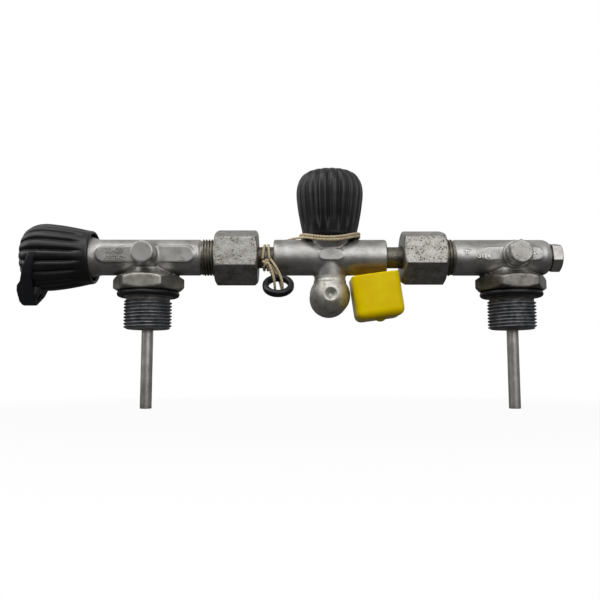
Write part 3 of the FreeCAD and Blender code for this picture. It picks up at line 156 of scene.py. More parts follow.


# %% [markdown]
# ## Plated metal
# The real bodies are brass forgings under satin chrome that has spent years in salt water. A
# mirror would be wrong: the blasted forging under the plating keeps the surface matt, and wear has
# scattered dull patches over it. So one recipe makes all the plated parts. It starts from chrome,
# metallic 1 with a mid roughness, and adds four things at real scales: broad clouds of tarnish, a
# fine grain, small dark pits, and painted shade with some dirt where two forms meet, darkened by
# ambient occlusion, which measures how deep in a corner a point lies. The nuts and the threads
# have aged differently; the left flange is a lighter copy as painted light, the right flange a
# darker copy as painted shade, and the outlet post a stained, rougher copy lightened as painted
# light, so each calls it with its own numbers.
# %% Worn plating


def worn_plating(name, bright, dull, dirt_and_shade, roughness, cloud_mm, grain_mm, pit_mm, pit_share,
                 grain_height_mm, edge_mm=0.35, corner_shade_reach_mm=4.0, pitted_from=0.5):
    """Chrome plate over a forging or casting, with tarnish, grain, pits and painted shade with dirt in its
    corners.
    """
    material, tree, place = blank_material(name)
    clouds = add(tree, "ShaderNodeTexNoise", {"Vector": place, "Scale": per(cloud_mm),
                                              "Detail": 6.0, "Roughness": 0.62})
    grain = add(tree, "ShaderNodeTexNoise", {"Vector": place, "Scale": per(grain_mm),
                                             "Detail": 4.0, "Roughness": 0.7})
    pits = add(tree, "ShaderNodeTexVoronoi", {"Vector": place, "Scale": per(pit_mm),
                                              "Randomness": 1.0})
    pit = add(tree, "ShaderNodeMapRange", {"Value": pits.outputs["Distance"], "From Min": 0.05,
                                           "From Max": 0.05 + pit_share, "To Min": 1.0,
                                           "To Max": 0.0})
    here = add(tree, "ShaderNodeMapRange", {"Value": clouds, "From Min": pitted_from,
                                            "From Max": pitted_from + 0.1})
    pitted = add(tree, "ShaderNodeMath", {0: pit, 1: here}, operation="MULTIPLY")
    tarnish = add(tree, "ShaderNodeMapRange", {"Value": clouds, "From Min": 0.38,
                                               "From Max": 0.66})
    plate = add(tree, "ShaderNodeMix", {"Factor": tarnish, "A": linear(bright),
                                        "B": linear(dull)}, data_type="RGBA")
    # Painted shade: ambient occlusion darkens the colour towards the dirt colour in corners and between parts.
    corner = add(tree, "ShaderNodeAmbientOcclusion", {"Distance": corner_shade_reach_mm * MM},
                 samples=8, only_local=False)
    depth = add(tree, "ShaderNodeMapRange", {"Value": corner.outputs["AO"], "From Min": 0.35,
                                             "From Max": 0.85, "To Min": 0.85, "To Max": 0.0})
    uneven_corner_shade = add(tree, "ShaderNodeMath", {0: depth, 1: grain}, operation="MULTIPLY")
    spots = add(tree, "ShaderNodeMath", {0: pitted, 1: 0.9}, operation="MULTIPLY")
    pits_and_corner_shade = add(tree, "ShaderNodeMath", {0: spots, 1: uneven_corner_shade}, operation="MAXIMUM")
    colour = add(tree, "ShaderNodeMix", {"Factor": pits_and_corner_shade, "A": plate, "B": linear(dirt_and_shade)},
                 data_type="RGBA")
    rough = add(tree, "ShaderNodeMapRange", {"Value": grain, "From Min": 0.3, "From Max": 0.7,
                                             "To Min": roughness - 0.07,
                                             "To Max": roughness + 0.1})
    rougher = add(tree, "ShaderNodeMath", {0: pits_and_corner_shade, 1: 0.3, 2: rough}, operation="MULTIPLY_ADD")
    rounded = add(tree, "ShaderNodeBevel", {"Radius": edge_mm * MM}, samples=4)
    relief = add(tree, "ShaderNodeMath", {0: pitted, 1: -0.8, 2: grain},
                 operation="MULTIPLY_ADD")
    bump = add(tree, "ShaderNodeBump", {"Height": relief, "Strength": 1.0,
                                        "Distance": grain_height_mm * MM, "Normal": rounded})
    shader = add(tree, "ShaderNodeBsdfPrincipled", {
        "Base Color": colour, "Metallic": 1.0, "Roughness": rougher, "Normal": bump})
    add(tree, "ShaderNodeOutputMaterial", {"Surface": shader})
    return material


# The raised figures are a lighter copy of the plating: a painted highlight on their raised faces.
highlit_figure = worn_plating(
    "worn raised figures", "#D4D2CE", "#B6B3AD", "#3A352F", roughness=0.3, cloud_mm=9.0,
    grain_mm=0.7, pit_mm=1.5, pit_share=0.1, grain_height_mm=0.02, edge_mm=0.1,
    corner_shade_reach_mm=0.6)
satin_forging = worn_plating(
    "satin chrome on a forging", "#C4C2BF", "#A09D98", "#2C2722", roughness=0.42, cloud_mm=9.0,
    grain_mm=0.7, pit_mm=1.5, pit_share=0.2, grain_height_mm=0.06)
# The outlet post is a stained, rougher copy of the plating, lighter as painted light.
stained_lit_post = worn_plating(
    "stained chrome on the outlet post", "#DEDCD6", "#BDB9AF", "#4A4236", roughness=0.52,
    cloud_mm=4.0, grain_mm=0.6, pit_mm=1.4, pit_share=0.3, grain_height_mm=0.08,
    pitted_from=0.46)
cast_nut = worn_plating(
    "pitted chrome on a cast nut", "#B2B0AB", "#918D86", "#1A1715", roughness=0.38,
    cloud_mm=5.0, grain_mm=0.9, pit_mm=1.3, pit_share=0.36, grain_height_mm=0.22,
    pitted_from=0.44)
# The flanges are lit and shaded copies of one plating: the left one lighter as painted light, the right one darker
# as painted shade.
lit_left_flange = worn_plating(
    "dulled chrome on the left flange", "#BDBAB1", "#8C8981", "#1E1B18", roughness=0.4,
    cloud_mm=6.0, grain_mm=0.7, pit_mm=1.4, pit_share=0.24, grain_height_mm=0.08)
shaded_right_flange = worn_plating(
    "dark chrome on the right flange", "#8F8C86", "#605D58", "#1A1714", roughness=0.36,
    cloud_mm=6.0, grain_mm=0.7, pit_mm=1.4, pit_share=0.24, grain_height_mm=0.08)
dark_thread = worn_plating(
    "greased black thread", "#9FA0A4", "#686A6E", "#191A1D", roughness=0.42, cloud_mm=4.0,
    grain_mm=0.6, pit_mm=1.2, pit_share=0.16, grain_height_mm=0.03, edge_mm=0.1,
    corner_shade_reach_mm=1.6)
union_thread = worn_plating(
    "dull thread under the nut", "#A39E92", "#716C61", "#1F1B17", roughness=0.36, cloud_mm=4.0,
    grain_mm=0.6, pit_mm=1.2, pit_share=0.16, grain_height_mm=0.03, edge_mm=0.1,
    corner_shade_reach_mm=1.4)
brown_tube = worn_plating(
    "plating with a brown patina", "#8A857A", "#5A544B", "#241D15", roughness=0.4, cloud_mm=3.5,
    grain_mm=0.6, pit_mm=1.2, pit_share=0.2, grain_height_mm=0.04)
drawn_tube = worn_plating(
    "drawn and plated tube", "#CFCDC9", "#A9A6A1", "#4A4540", roughness=0.36, cloud_mm=7.0,
    grain_mm=0.8, pit_mm=2.4, pit_share=0.1, grain_height_mm=0.02)
print("a worn plating has", len(satin_forging.node_tree.nodes), "nodes")

# %% [markdown]
# ## Plain machined metals
# Brass, copper and spring steel sit inside or peep out of the knobs. They only need fine
# turning marks. A wave of rings round each piece would need to know where its axis is, so the
# recipe uses a noise stretched a little, which reads as cut metal at this size.
# %% Brass, copper and steel


def machined(name, colour, shade, roughness, grain_mm=0.4):
    """Bare cut metal with a fine grain."""
    material, tree, place = blank_material(name)
    stretch = add(tree, "ShaderNodeMapping", {"Vector": place, "Scale": (1.0, 1.0, 4.0)})
    grain = add(tree, "ShaderNodeTexNoise", {"Vector": stretch, "Scale": per(grain_mm),
                                             "Detail": 3.0})
    tint = add(tree, "ShaderNodeMix", {"Factor": grain, "A": linear(colour),
                                       "B": linear(shade)}, data_type="RGBA")
    rough = add(tree, "ShaderNodeMapRange", {"Value": grain, "To Min": roughness - 0.06,
                                             "To Max": roughness + 0.08})
    bump = add(tree, "ShaderNodeBump", {"Height": grain, "Strength": 0.6,
                                        "Distance": 0.01 * MM})
    shader = add(tree, "ShaderNodeBsdfPrincipled", {
        "Base Color": tint, "Metallic": 1.0, "Roughness": rough, "Normal": bump})
    add(tree, "ShaderNodeOutputMaterial", {"Surface": shader})
    return material


brass = machined("turned brass", "#C9A35B", "#9B7838", roughness=0.3)
copper = machined("soft copper sheet", "#5C4A3E", "#352A22", roughness=0.45)
steel = machined("drawn spring steel", "#A6A7A8", "#7B7C7E", roughness=0.28)
print("a cut metal has", len(brass.node_tree.nodes), "nodes")

# %% [markdown]
# ## Rubber, plastic and vinyl
# These are not metals: their colour comes from inside and only a clear reflection lies on top.
# Knob rubber is filled with carbon black, moulded against a satin tool and dusty in patches.
# The lever is nearly the same black, in a harder plastic that has faded a little. The cap is
# dipped vinyl: bright yellow, and slightly wavy because it cured over a warm former. Its old
# skin mirrors only a little of the bright room, so `gloss` is low there.
# %% Moulded and dipped materials


def moulded(name, colour, shade, roughness, cloud_mm, grain_mm, grain_height_mm, wave_mm=0.0,
            dust="#5A5650", dust_share=0.0, subsurface=0.0, gloss=0.5):
    """A moulded rubber or plastic: body colour, a little mottling, grain and optional waves."""
    material, tree, place = blank_material(name)
    clouds = add(tree, "ShaderNodeTexNoise", {"Vector": place, "Scale": per(cloud_mm),
                                              "Detail": 5.0, "Roughness": 0.6})
    grain = add(tree, "ShaderNodeTexNoise", {"Vector": place, "Scale": per(grain_mm),
                                             "Detail": 3.0, "Roughness": 0.6})
    mottled = add(tree, "ShaderNodeMapRange", {"Value": clouds, "From Min": 0.35,
                                               "From Max": 0.65})
    body = add(tree, "ShaderNodeMix", {"Factor": mottled, "A": linear(colour),
                                       "B": linear(shade)}, data_type="RGBA")
    worn = add(tree, "ShaderNodeMapRange", {"Value": clouds, "From Min": 0.5, "From Max": 0.7,
                                            "To Min": 0.0, "To Max": dust_share})
    dusty = add(tree, "ShaderNodeMath", {0: worn, 1: grain}, operation="MULTIPLY")
    tint = add(tree, "ShaderNodeMix", {"Factor": dusty, "A": body, "B": linear(dust)},
               data_type="RGBA")
    rough = add(tree, "ShaderNodeMapRange", {"Value": clouds, "From Min": 0.3, "From Max": 0.7,
                                             "To Min": roughness - 0.06,
                                             "To Max": roughness + 0.1})
    rounded = add(tree, "ShaderNodeBevel", {"Radius": 0.3 * MM}, samples=4)
    fine = add(tree, "ShaderNodeBump", {"Height": grain, "Strength": 0.8, "Distance":
                                        grain_height_mm * MM, "Normal": rounded})
    waves = add(tree, "ShaderNodeBump", {"Height": clouds, "Strength": 1.0, "Distance":
                                         wave_mm * MM, "Normal": fine})
    shader = add(tree, "ShaderNodeBsdfPrincipled", {
        "Base Color": tint, "Roughness": rough, "Normal": waves, "IOR": 1.5,
        "Specular IOR Level": gloss, "Subsurface Weight": subsurface,
        "Subsurface Radius": (0.9, 0.6, 0.1), "Subsurface Scale": 1.5 * MM})
    add(tree, "ShaderNodeOutputMaterial", {"Surface": shader})
    return material


knob_rubber = moulded(
    "moulded knob rubber", "#0B0B0E", "#121216", roughness=0.34, cloud_mm=7.0, grain_mm=0.5,
    grain_height_mm=0.02, dust="#2C2C2C", dust_share=0.3)
lever_plastic = moulded(
    "moulded black plastic", "#1B1C20", "#26272B", roughness=0.36, cloud_mm=8.0, grain_mm=0.8,
    grain_height_mm=0.02)
seal_rubber = moulded(
    "nitrile seal", "#08080A", "#0F0F12", roughness=0.45, cloud_mm=4.0, grain_mm=0.5,
    grain_height_mm=0.01)
ring_rubber = moulded(
    "moulded ring rubber", "#0A0B10", "#111319", roughness=0.28, cloud_mm=5.0, grain_mm=0.6,
    grain_height_mm=0.02, wave_mm=0.05)
seat_plastic = moulded(
    "turned nylon", "#E4E0D4", "#D2CCBC", roughness=0.4, cloud_mm=5.0, grain_mm=0.5,
    grain_height_mm=0.01)
cap_vinyl = moulded(
    "dipped yellow vinyl", "#FFE100", "#FAD600", roughness=0.22, cloud_mm=9.0, grain_mm=1.2,
    grain_height_mm=0.01, wave_mm=0.25, subsurface=0.12, gloss=0.08)
print("a moulded finish has", len(cap_vinyl.node_tree.nodes), "nodes")

# %% [markdown]
# ## Cotton cord
# The cord is a thin waxed cotton line, laid from three strands. At 1.5 mm across, each fibre is
# far too fine to show, so the pattern stops at the strands' own shadow lines and a little
# mottling of dirt. A low sheen gives the fuzzy edge that cotton has.
# %% Cord material
cord_cotton, tree, place = blank_material("laid cotton line")
fibre = add(tree, "ShaderNodeTexNoise", {"Vector": place, "Scale": per(0.35), "Detail": 3.0})
dirt = add(tree, "ShaderNodeTexNoise", {"Vector": place, "Scale": per(6.0), "Detail": 4.0})
clean = add(tree, "ShaderNodeMix", {"Factor": fibre, "A": linear("#EBDDBB"),
                                    "B": linear("#CDB88F")}, data_type="RGBA")
soiled = add(tree, "ShaderNodeMapRange", {"Value": dirt, "From Min": 0.45, "From Max": 0.7,
                                          "To Min": 0.0, "To Max": 0.6})
cotton = add(tree, "ShaderNodeMix", {"Factor": soiled, "A": clean, "B": linear("#A08E6E")},
             data_type="RGBA")
fuzz = add(tree, "ShaderNodeBump", {"Height": fibre, "Strength": 0.7, "Distance": 0.06 * MM})
shader = add(tree, "ShaderNodeBsdfPrincipled", {
    "Base Color": cotton, "Roughness": 0.85, "Normal": fuzz, "Sheen Weight": 0.25,
    "Sheen Roughness": 0.5})
add(tree, "ShaderNodeOutputMaterial", {"Surface": shader})
print("the cord's cotton has", len(tree.nodes), "nodes")

# %% [markdown]
# ## Dress every measured piece
# A CAD piece whose shape is right stays as it is and only gets a finish, by its material slot
# in the record. The pieces that need a better shape are replaced further down.
# %% Finishes for the measured pieces
finish_of_slot = {
    "forged_body": satin_forging,
    "plated_fittings": cast_nut,
    "worn_tube": brown_tube,
    "inner_brass": brass,
    "spring_steel": steel,
    "copper": copper,
    "knob_rubber": knob_rubber,
    "seal_rubber": seal_rubber,
    "seat_plastic": seat_plastic,
    "lever_plastic": lever_plastic,
    "cord": cord_cotton,
    "yellow_vinyl": cap_vinyl,
}
for name, node in nodes.items():
    node.data.materials.clear()
    node.data.materials.append(finish_of_slot[slot_of[name]])
for name in ("left_dip_tube", "right_dip_tube"):
    nodes[name].data.materials[0] = drawn_tube
print("dressed", len(nodes), "pieces")

# %% [markdown]
# ## Softened castings
# Forgings and castings have no sharp inner corners: metal flows into a die with rounded edges.
# Filleting every junction by hand is slow and often fails. Another way is to copy the measured
# shape, rebuild its skin from small cubes (a voxel remesh), and relax the skin a little. Every
# edge then gets the same soft radius, as sand-blasting and plating give it, while the size and
# place hardly change. Places where the skin must stay crisp, such as threads, are flattened in
# the copy first and put back as pieces of their own.
# %% A softened copy of a measured piece


def link(obj):
    """Puts an object into the scene."""
    bpy.context.scene.collection.objects.link(obj)
    return obj


def baked(obj):
    """Turns what the modifiers make into the object's own mesh and removes them."""
    graph = bpy.context.evaluated_depsgraph_get()
    mesh = bpy.data.meshes.new_from_object(obj.evaluated_get(graph), depsgraph=graph)
    made = link(bpy.data.objects.new(obj.name + "_baked", mesh))
    name = obj.name
    bpy.data.objects.remove(obj)
    made.name = name
    mesh.name = name
    return made


def softened(node, finish, cell_mm, passes, reshape=None):
    """A remeshed and relaxed copy of a CAD node, which then stands for that node."""
    skin = bmesh.new()
    skin.from_mesh(nodes[node].data)
    bmesh.ops.remove_doubles(skin, verts=skin.verts, dist=0.002 * MM)
    if reshape:
        reshape(skin)
    mesh = bpy.data.meshes.new(node + "_soft")
    skin.to_mesh(mesh)
    skin.free()
    obj = link(bpy.data.objects.new(node + "_soft", mesh))
    cells = obj.modifiers.new("cells", "REMESH")
    cells.mode = "VOXEL"
    cells.voxel_size = cell_mm * MM
    cells.use_smooth_shade = True
    relax = obj.modifiers.new("relax", "SMOOTH")
    relax.factor = 0.5
    relax.iterations = passes
    obj = baked(obj)
    obj.data.materials.clear()
    obj.data.materials.append(finish)
    obj.data.shade_smooth()
    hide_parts(node)
    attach(obj, body_of[node])
    print(node, "softened:", len(obj.data.polygons), "faces")
    return obj


# %% [markdown]
# The posts carry two threads each. In the copy, every point of a thread is pulled in to a plain
# core, just under the thread's root, and the raised numbers are pressed back flat. The crisp
# thread and the numbers are added afterwards.
# %% The three forged bodies
UNION_ROOT_R = 9.4 * MM
UNION_PITCH = 1.5875 * MM
TANK_ROOT_R = 12.1 * MM
CORE_GAP = 0.15 * MM
FLANGE_TOP = 13.65 * MM
OUTLET_POST_TOP = BAR_Z - 10.5 * MM
left_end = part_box("reserve_post_body")[1].x
right_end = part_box("right_post_body")[0].x
LEFT_UNION_LENGTH = 14 * UNION_PITCH
RIGHT_UNION_LENGTH = 12 * UNION_PITCH
LEFT_PAD_Y = -10.5 * MM
RIGHT_PAD_Y = -10.2 * MM
NUMBER_RELIEF = 0.3 * MM


def plain_core(axis_x, union_from, union_to, pad_y):
    """Returns a function that flattens one post's threads and numbers in the copied skin."""

    def reshape(skin):
        for vert in skin.verts:
            p = vert.co
            upright = math.hypot(p.x - axis_x, p.y)
            if p.z < 0.2 * MM and upright > TANK_ROOT_R - 0.4 * MM:
                shrink = (TANK_ROOT_R - CORE_GAP) / upright
                p.x = axis_x + (p.x - axis_x) * shrink
                p.y *= shrink
            across = math.hypot(p.y, p.z - BAR_Z)
            if union_from < p.x < union_to and across > UNION_ROOT_R - 0.05 * MM:
                shrink = (UNION_ROOT_R - CORE_GAP) / across
                p.y *= shrink
                p.z = BAR_Z + (p.z - BAR_Z) * shrink
            in_pad = abs(p.z - BAR_Z) < 4.8 * MM and abs(p.x - axis_x) > 8 * MM
            if in_pad and pad_y - NUMBER_RELIEF - 0.05 * MM < p.y < pad_y - 0.02 * MM:
                p.y = pad_y
    return reshape


def finish_below(obj, height, finish):
    """Gives the faces below a height a second finish."""
    obj.data.materials.append(finish)
    for face in obj.data.polygons:
        face.material_index = 1 if face.center.z < height else 0


left_core = plain_core(0.0, left_end - LEFT_UNION_LENGTH - 0.5 * MM, left_end + MM, LEFT_PAD_Y)
right_core = plain_core(RIGHT_X, right_end - MM, right_end + RIGHT_UNION_LENGTH + 0.5 * MM,
                        RIGHT_PAD_Y)
left_post = softened("reserve_post_body", satin_forging, cell_mm=0.45, passes=4,
                     reshape=left_core)
right_post = softened("right_post_body", satin_forging, cell_mm=0.45, passes=4,
                      reshape=right_core)
centre_body = softened("valve_body", satin_forging, cell_mm=0.45, passes=5)
# The flanges get their painted light and painted shade copies, and the outlet post its stained copy lightened as
# painted light.
finish_below(left_post, FLANGE_TOP, lit_left_flange)
finish_below(right_post, FLANGE_TOP, shaded_right_flange)
finish_below(centre_body, OUTLET_POST_TOP, stained_lit_post)

# %% [markdown]
# ## Real threads with Geometry Nodes
# A thread follows a rule: its radius rises and falls once per pitch, and the pattern climbs by
# one pitch in each turn. That makes it a good first piece for Geometry Nodes. A flat grid is
# rolled up into a tube: its width becomes the angle and its height the place along the axis.
# The radius comes from a ping-pong wave of (height / pitch - angle / full turn), cut off above
# and below so that crest and root are flat. Both ends sink under the core, so no open edge
# shows. One tree serves all four threads, through its named inputs.
# %% The thread tree
THREAD_COLUMNS = 97
SUNK_END = 0.4 * MM
# Shares of a pitch: where the flank leaves the root, where it meets the crest, and how far in
# from each end the thread reaches its full height
FLAT_ROOT, FLAT_CREST, RUN_OUT = 0.09, 0.38, 0.5


def named_tree(name, inputs):
    """A node group with a geometry in and out, and with named inputs and their defaults."""
    tree = bpy.data.node_groups.new(name, "GeometryNodeTree")
    for in_out in ("INPUT", "OUTPUT"):
        tree.interface.new_socket(name="Geometry", in_out=in_out,
                                  socket_type="NodeSocketGeometry")
    for label, kind, value in inputs:
        socket = tree.interface.new_socket(name=label, in_out="INPUT",
                                           socket_type="NodeSocket" + kind)
        if value is not None:
            socket.default_value = value
    return tree


def flat_grid(tree, columns, rows):
    """A flat grid, with its width read as the share of a turn and its height as 0 to 1."""
    grid = add(tree, "GeometryNodeMeshGrid", {"Size X": 1.0, "Size Y": 1.0,
                                              "Vertices X": columns, "Vertices Y": rows})
    position = add(tree, "GeometryNodeInputPosition")
    spot = add(tree, "ShaderNodeSeparateXYZ", {0: position}).outputs
    turn = add(tree, "ShaderNodeMath", {0: spot["X"], 1: 0.5}, operation="ADD")
    along = add(tree, "ShaderNodeMath", {0: spot["Y"], 1: 0.5}, operation="ADD")
    return grid, turn, along


def roll_up(tree, grid, angle, radius, height, finish):
    """Rolls the grid up, joins its seam, gives it its finish and ends the tree."""
    cosine = add(tree, "ShaderNodeMath", {0: angle}, operation="COSINE")
    sine = add(tree, "ShaderNodeMath", {0: angle}, operation="SINE")
    rolled = add(tree, "ShaderNodeCombineXYZ", {
        "X": add(tree, "ShaderNodeMath", {0: radius, 1: cosine}, operation="MULTIPLY"),
        "Y": add(tree, "ShaderNodeMath", {0: radius, 1: sine}, operation="MULTIPLY"),
        "Z": height})
    placed = add(tree, "GeometryNodeSetPosition", {"Geometry": grid, "Position": rolled})
    closed = add(tree, "GeometryNodeMergeByDistance", {"Geometry": placed,
                                                       "Distance": 0.01 * MM})
    real = add(tree, "GeometryNodeRealizeInstances", {"Geometry": closed})
    painted = add(tree, "GeometryNodeSetMaterial", {"Geometry": real, "Material": finish})
    add(tree, "NodeGroupOutput", {"Geometry": painted})


thread_tree = named_tree("cut thread", [
    ("Crest radius", "Float", 0.0132), ("Root radius", "Float", 0.0121),
    ("Pitch", "Float", 0.0018), ("Length", "Float", 0.015), ("Rows", "Int", 96),
    ("Finish", "Material", None)])
given = add(thread_tree, "NodeGroupInput").outputs
grid, turn, rise = flat_grid(thread_tree, THREAD_COLUMNS, given["Rows"])
angle = add(thread_tree, "ShaderNodeMath", {0: turn, 1: 2 * math.pi}, operation="MULTIPLY")
height = add(thread_tree, "ShaderNodeMath", {0: rise, 1: given["Length"]}, operation="MULTIPLY")
turns_up = add(thread_tree, "ShaderNodeMath", {0: height, 1: given["Pitch"]}, operation="DIVIDE")
phase = add(thread_tree, "ShaderNodeMath", {0: turns_up, 1: turn}, operation="SUBTRACT")
wave = add(thread_tree, "ShaderNodeMath", {0: phase, 1: 0.5}, operation="PINGPONG")
flank = add(thread_tree, "ShaderNodeMapRange", {"Value": wave, "From Min": FLAT_ROOT,
                                                "From Max": FLAT_CREST})
to_top = add(thread_tree, "ShaderNodeMath", {0: given["Length"], 1: height},
             operation="SUBTRACT")
to_end = add(thread_tree, "ShaderNodeMath", {0: height, 1: to_top}, operation="MINIMUM")
pitches = add(thread_tree, "ShaderNodeMath", {0: to_end, 1: given["Pitch"]}, operation="DIVIDE")
run_out = add(thread_tree, "ShaderNodeMapRange", {"Value": pitches, "From Max": RUN_OUT})
tooth = add(thread_tree, "ShaderNodeMath", {0: given["Crest radius"], 1: given["Root radius"]},
            operation="SUBTRACT")
profile = add(thread_tree, "ShaderNodeMath", {0: tooth, 1: flank}, operation="MULTIPLY")
tall = add(thread_tree, "ShaderNodeMath", {0: profile, 1: run_out}, operation="MULTIPLY")
missing = add(thread_tree, "ShaderNodeMath", {0: run_out, 1: 1.0}, operation="SUBTRACT")
sunk = add(thread_tree, "ShaderNodeMath", {0: missing, 1: SUNK_END}, operation="MULTIPLY")
above_root = add(thread_tree, "ShaderNodeMath", {0: tall, 1: sunk}, operation="ADD")
radius = add(thread_tree, "ShaderNodeMath", {0: given["Root radius"], 1: above_root},
             operation="ADD")
roll_up(thread_tree, grid, angle, radius, height, given["Finish"])
print("thread tree:", len(thread_tree.nodes), "nodes")

# %% [markdown]
# A tree runs as a modifier on an object. A modifier knows an input by its identifier, so each
# name is looked up first. The result is kept as a plain mesh and moved to its place.
# %% Running a tree


def set_inputs(modifier, **values):
    """Sets a Geometry Nodes modifier's inputs by name, through each socket's identifier."""
    for item in modifier.node_group.interface.items_tree:
        key = item.name.replace(" ", "_")
        if item.in_out == "INPUT" and key in values:
            modifier[item.identifier] = values[key]


def upright_frame(start, direction):
    """The matrix that takes the Z axis to a direction and the origin to a start point."""
    turn_matrix = Vector(direction).to_track_quat("Z", "Y").to_matrix().to_4x4()
    return Matrix.Translation(start) @ turn_matrix


def facing_out(mesh):
    """Makes all faces of a mesh point outwards."""
    skin = bmesh.new()
    skin.from_mesh(mesh)
    bmesh.ops.recalc_face_normals(skin, faces=skin.faces)
    skin.to_mesh(mesh)
    skin.free()


def grown(name, tree, seed_data, matrix, **values):
    """Runs a tree on an object, keeps its mesh, and moves that mesh to its place."""
    obj = link(bpy.data.objects.new(name, seed_data))
    modifier = obj.modifiers.new("tree", "NODES")
    modifier.node_group = tree
    set_inputs(modifier, **values)
    bpy.context.view_layer.update()
    obj = baked(obj)
    facing_out(obj.data)
    obj.data.transform(matrix)
    obj.data.shade_smooth()
    return obj


# %% [markdown]
# The tank threads run down from the neck, and the union threads run from each post's barrel to
# its end inside the nut. A thread starts a little inside its neighbours.
# %% Four threads
ROWS_PER_PITCH = 12
UNION_CREST_R = 10.3 * MM
TANK_PITCH = 1.814 * MM
THREAD_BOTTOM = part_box("reserve_post_body")[0].z
TANK_OVERLAP = 0.1 * MM
UNION_OVERLAP = 0.4 * MM


def thread(name, start, direction, crest, root, pitch, length, node, finish):
    """One thread that rides on the body of a CAD node."""
    obj = grown(name, thread_tree, bpy.data.meshes.new(name), upright_frame(start, direction),
                Crest_radius=crest, Root_radius=root, Pitch=pitch, Length=length,
                Rows=int(length / pitch * ROWS_PER_PITCH), Finish=finish)
    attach(obj, body_of[node])


tank_length = 2 * TANK_OVERLAP - THREAD_BOTTOM
for side, x, node in (("left", 0.0, "reserve_post_body"), ("right", RIGHT_X, "right_post_body")):
    thread(side + "_tank_thread", Vector((x, 0, THREAD_BOTTOM + TANK_OVERLAP)), (0, 0, 1),
           THREAD_R, TANK_ROOT_R, TANK_PITCH, tank_length, node, dark_thread)
thread("left_union_thread", Vector((left_end - LEFT_UNION_LENGTH - UNION_OVERLAP, 0, BAR_Z)),
       (1, 0, 0), UNION_CREST_R, UNION_ROOT_R, UNION_PITCH, LEFT_UNION_LENGTH,
       "reserve_post_body", union_thread)
thread("right_union_thread", Vector((right_end + RIGHT_UNION_LENGTH + UNION_OVERLAP, 0, BAR_Z)),
       (-1, 0, 0), UNION_CREST_R, UNION_ROOT_R, UNION_PITCH, RIGHT_UNION_LENGTH,
       "right_post_body", union_thread)
print("four threads, the tank threads", round(tank_length / MM, 1), "mm long")

# %% [markdown]
# ## Nuts, plugs and flanges
# The union nuts are rough castings with blunt corners. Small cells and a few passes of relaxing
# give their edges a radius of about half a millimetre. The plugs are smaller and crisper.
# %% Softened fittings
for name in ("left_union_nut", "right_union_nut"):
    softened(name, cast_nut, cell_mm=0.4, passes=5)
for name in ("end_plug", "burst_plug"):
    softened(name, satin_forging, cell_mm=0.28, passes=3)

# %% [markdown]
# ## The ribbed knobs
# Both knobs are the same moulding. Its shape follows a rule, so Geometry Nodes can grow it. A
# side profile is drawn once as a curve, from inside the skirt round the rim and over the crown
# into the nut's recess. It is read along its length, and a grid is rolled up round it. Ribs are
# cut by lowering the radius in narrow valleys: the depth is a power of (1 - |sin|), which is
# wide and round on top and sharp in the valley, as a finger feels it.
# %% The knob tree
KNOB_RIBS = 18
RIB_DEPTH = 1.7 * MM
POINTS_PER_RIB = 14
PROFILE_POINTS = 150
KNOB_TWIST = math.radians(5)
VALLEY_POWER = 1.7
# Where the ribs begin, are full, fade and are gone, as shares of the profile's length
RIBS_BEGIN, RIBS_FULL, RIBS_FADE, RIBS_GONE = 0.30, 0.44, 0.84, 0.88
# (radius, distance from the rim), in millimetres
KNOB_PROFILE = [
    (11.0, 17.6), (12.6, 17.2), (13.0, 10.0), (13.1, 1.2), (13.6, 0.1), (14.4, 0.1),
    (14.9, 0.9), (15.1, 2.2), (15.6, 4.6), (16.3, 7.8), (17.0, 11.4), (17.75, 15.6),
    (18.4, 20.4), (18.85, 25.0), (18.75, 28.6), (18.15, 31.6), (17.0, 34.2), (15.2, 36.4),
    (13.0, 37.8), (10.6, 38.4), (8.0, 38.5), (7.05, 38.0), (6.9, 36.2), (6.9, 32.6),
]

knob_tree = named_tree("ribbed knob", [
    ("Ribs", "Int", KNOB_RIBS), ("Rib depth", "Float", RIB_DEPTH), ("Finish", "Material", None)])
given = add(knob_tree, "NodeGroupInput").outputs
grid, turn, along = flat_grid(knob_tree, KNOB_RIBS * POINTS_PER_RIB + 1, PROFILE_POINTS)
angle = add(knob_tree, "ShaderNodeMath", {0: turn, 1: 2 * math.pi}, operation="MULTIPLY")
profile = add(knob_tree, "GeometryNodeSampleCurve", {"Curves": given["Geometry"],
                                                     "Factor": along}, mode="FACTOR")
side = add(knob_tree, "ShaderNodeSeparateXYZ", {0: profile.outputs["Position"]}).outputs
half_ribs = add(knob_tree, "ShaderNodeMath", {0: given["Ribs"], 1: 0.5}, operation="MULTIPLY")
rib_angle = add(knob_tree, "ShaderNodeMath", {0: angle, 1: half_ribs}, operation="MULTIPLY")
swing = add(knob_tree, "ShaderNodeMath", {0: rib_angle}, operation="SINE")
crest = add(knob_tree, "ShaderNodeMath", {0: swing}, operation="ABSOLUTE")
hollow = add(knob_tree, "ShaderNodeMath", {0: 1.0, 1: crest}, operation="SUBTRACT")
valley = add(knob_tree, "ShaderNodeMath", {0: hollow, 1: VALLEY_POWER}, operation="POWER")
begin = add(knob_tree, "ShaderNodeMapRange", {"Value": along, "From Min": RIBS_BEGIN,
                                              "From Max": RIBS_FULL},
            interpolation_type="SMOOTHSTEP")
finish_off = add(knob_tree, "ShaderNodeMapRange", {"Value": along, "From Min": RIBS_GONE,
                                                   "From Max": RIBS_FADE},
                 interpolation_type="SMOOTHSTEP")
fade = add(knob_tree, "ShaderNodeMath", {0: begin, 1: finish_off}, operation="MULTIPLY")
share = add(knob_tree, "ShaderNodeMath", {0: valley, 1: fade}, operation="MULTIPLY")
cut = add(knob_tree, "ShaderNodeMath", {0: share, 1: given["Rib depth"]}, operation="MULTIPLY")
radius = add(knob_tree, "ShaderNodeMath", {0: side["X"], 1: cut}, operation="SUBTRACT")
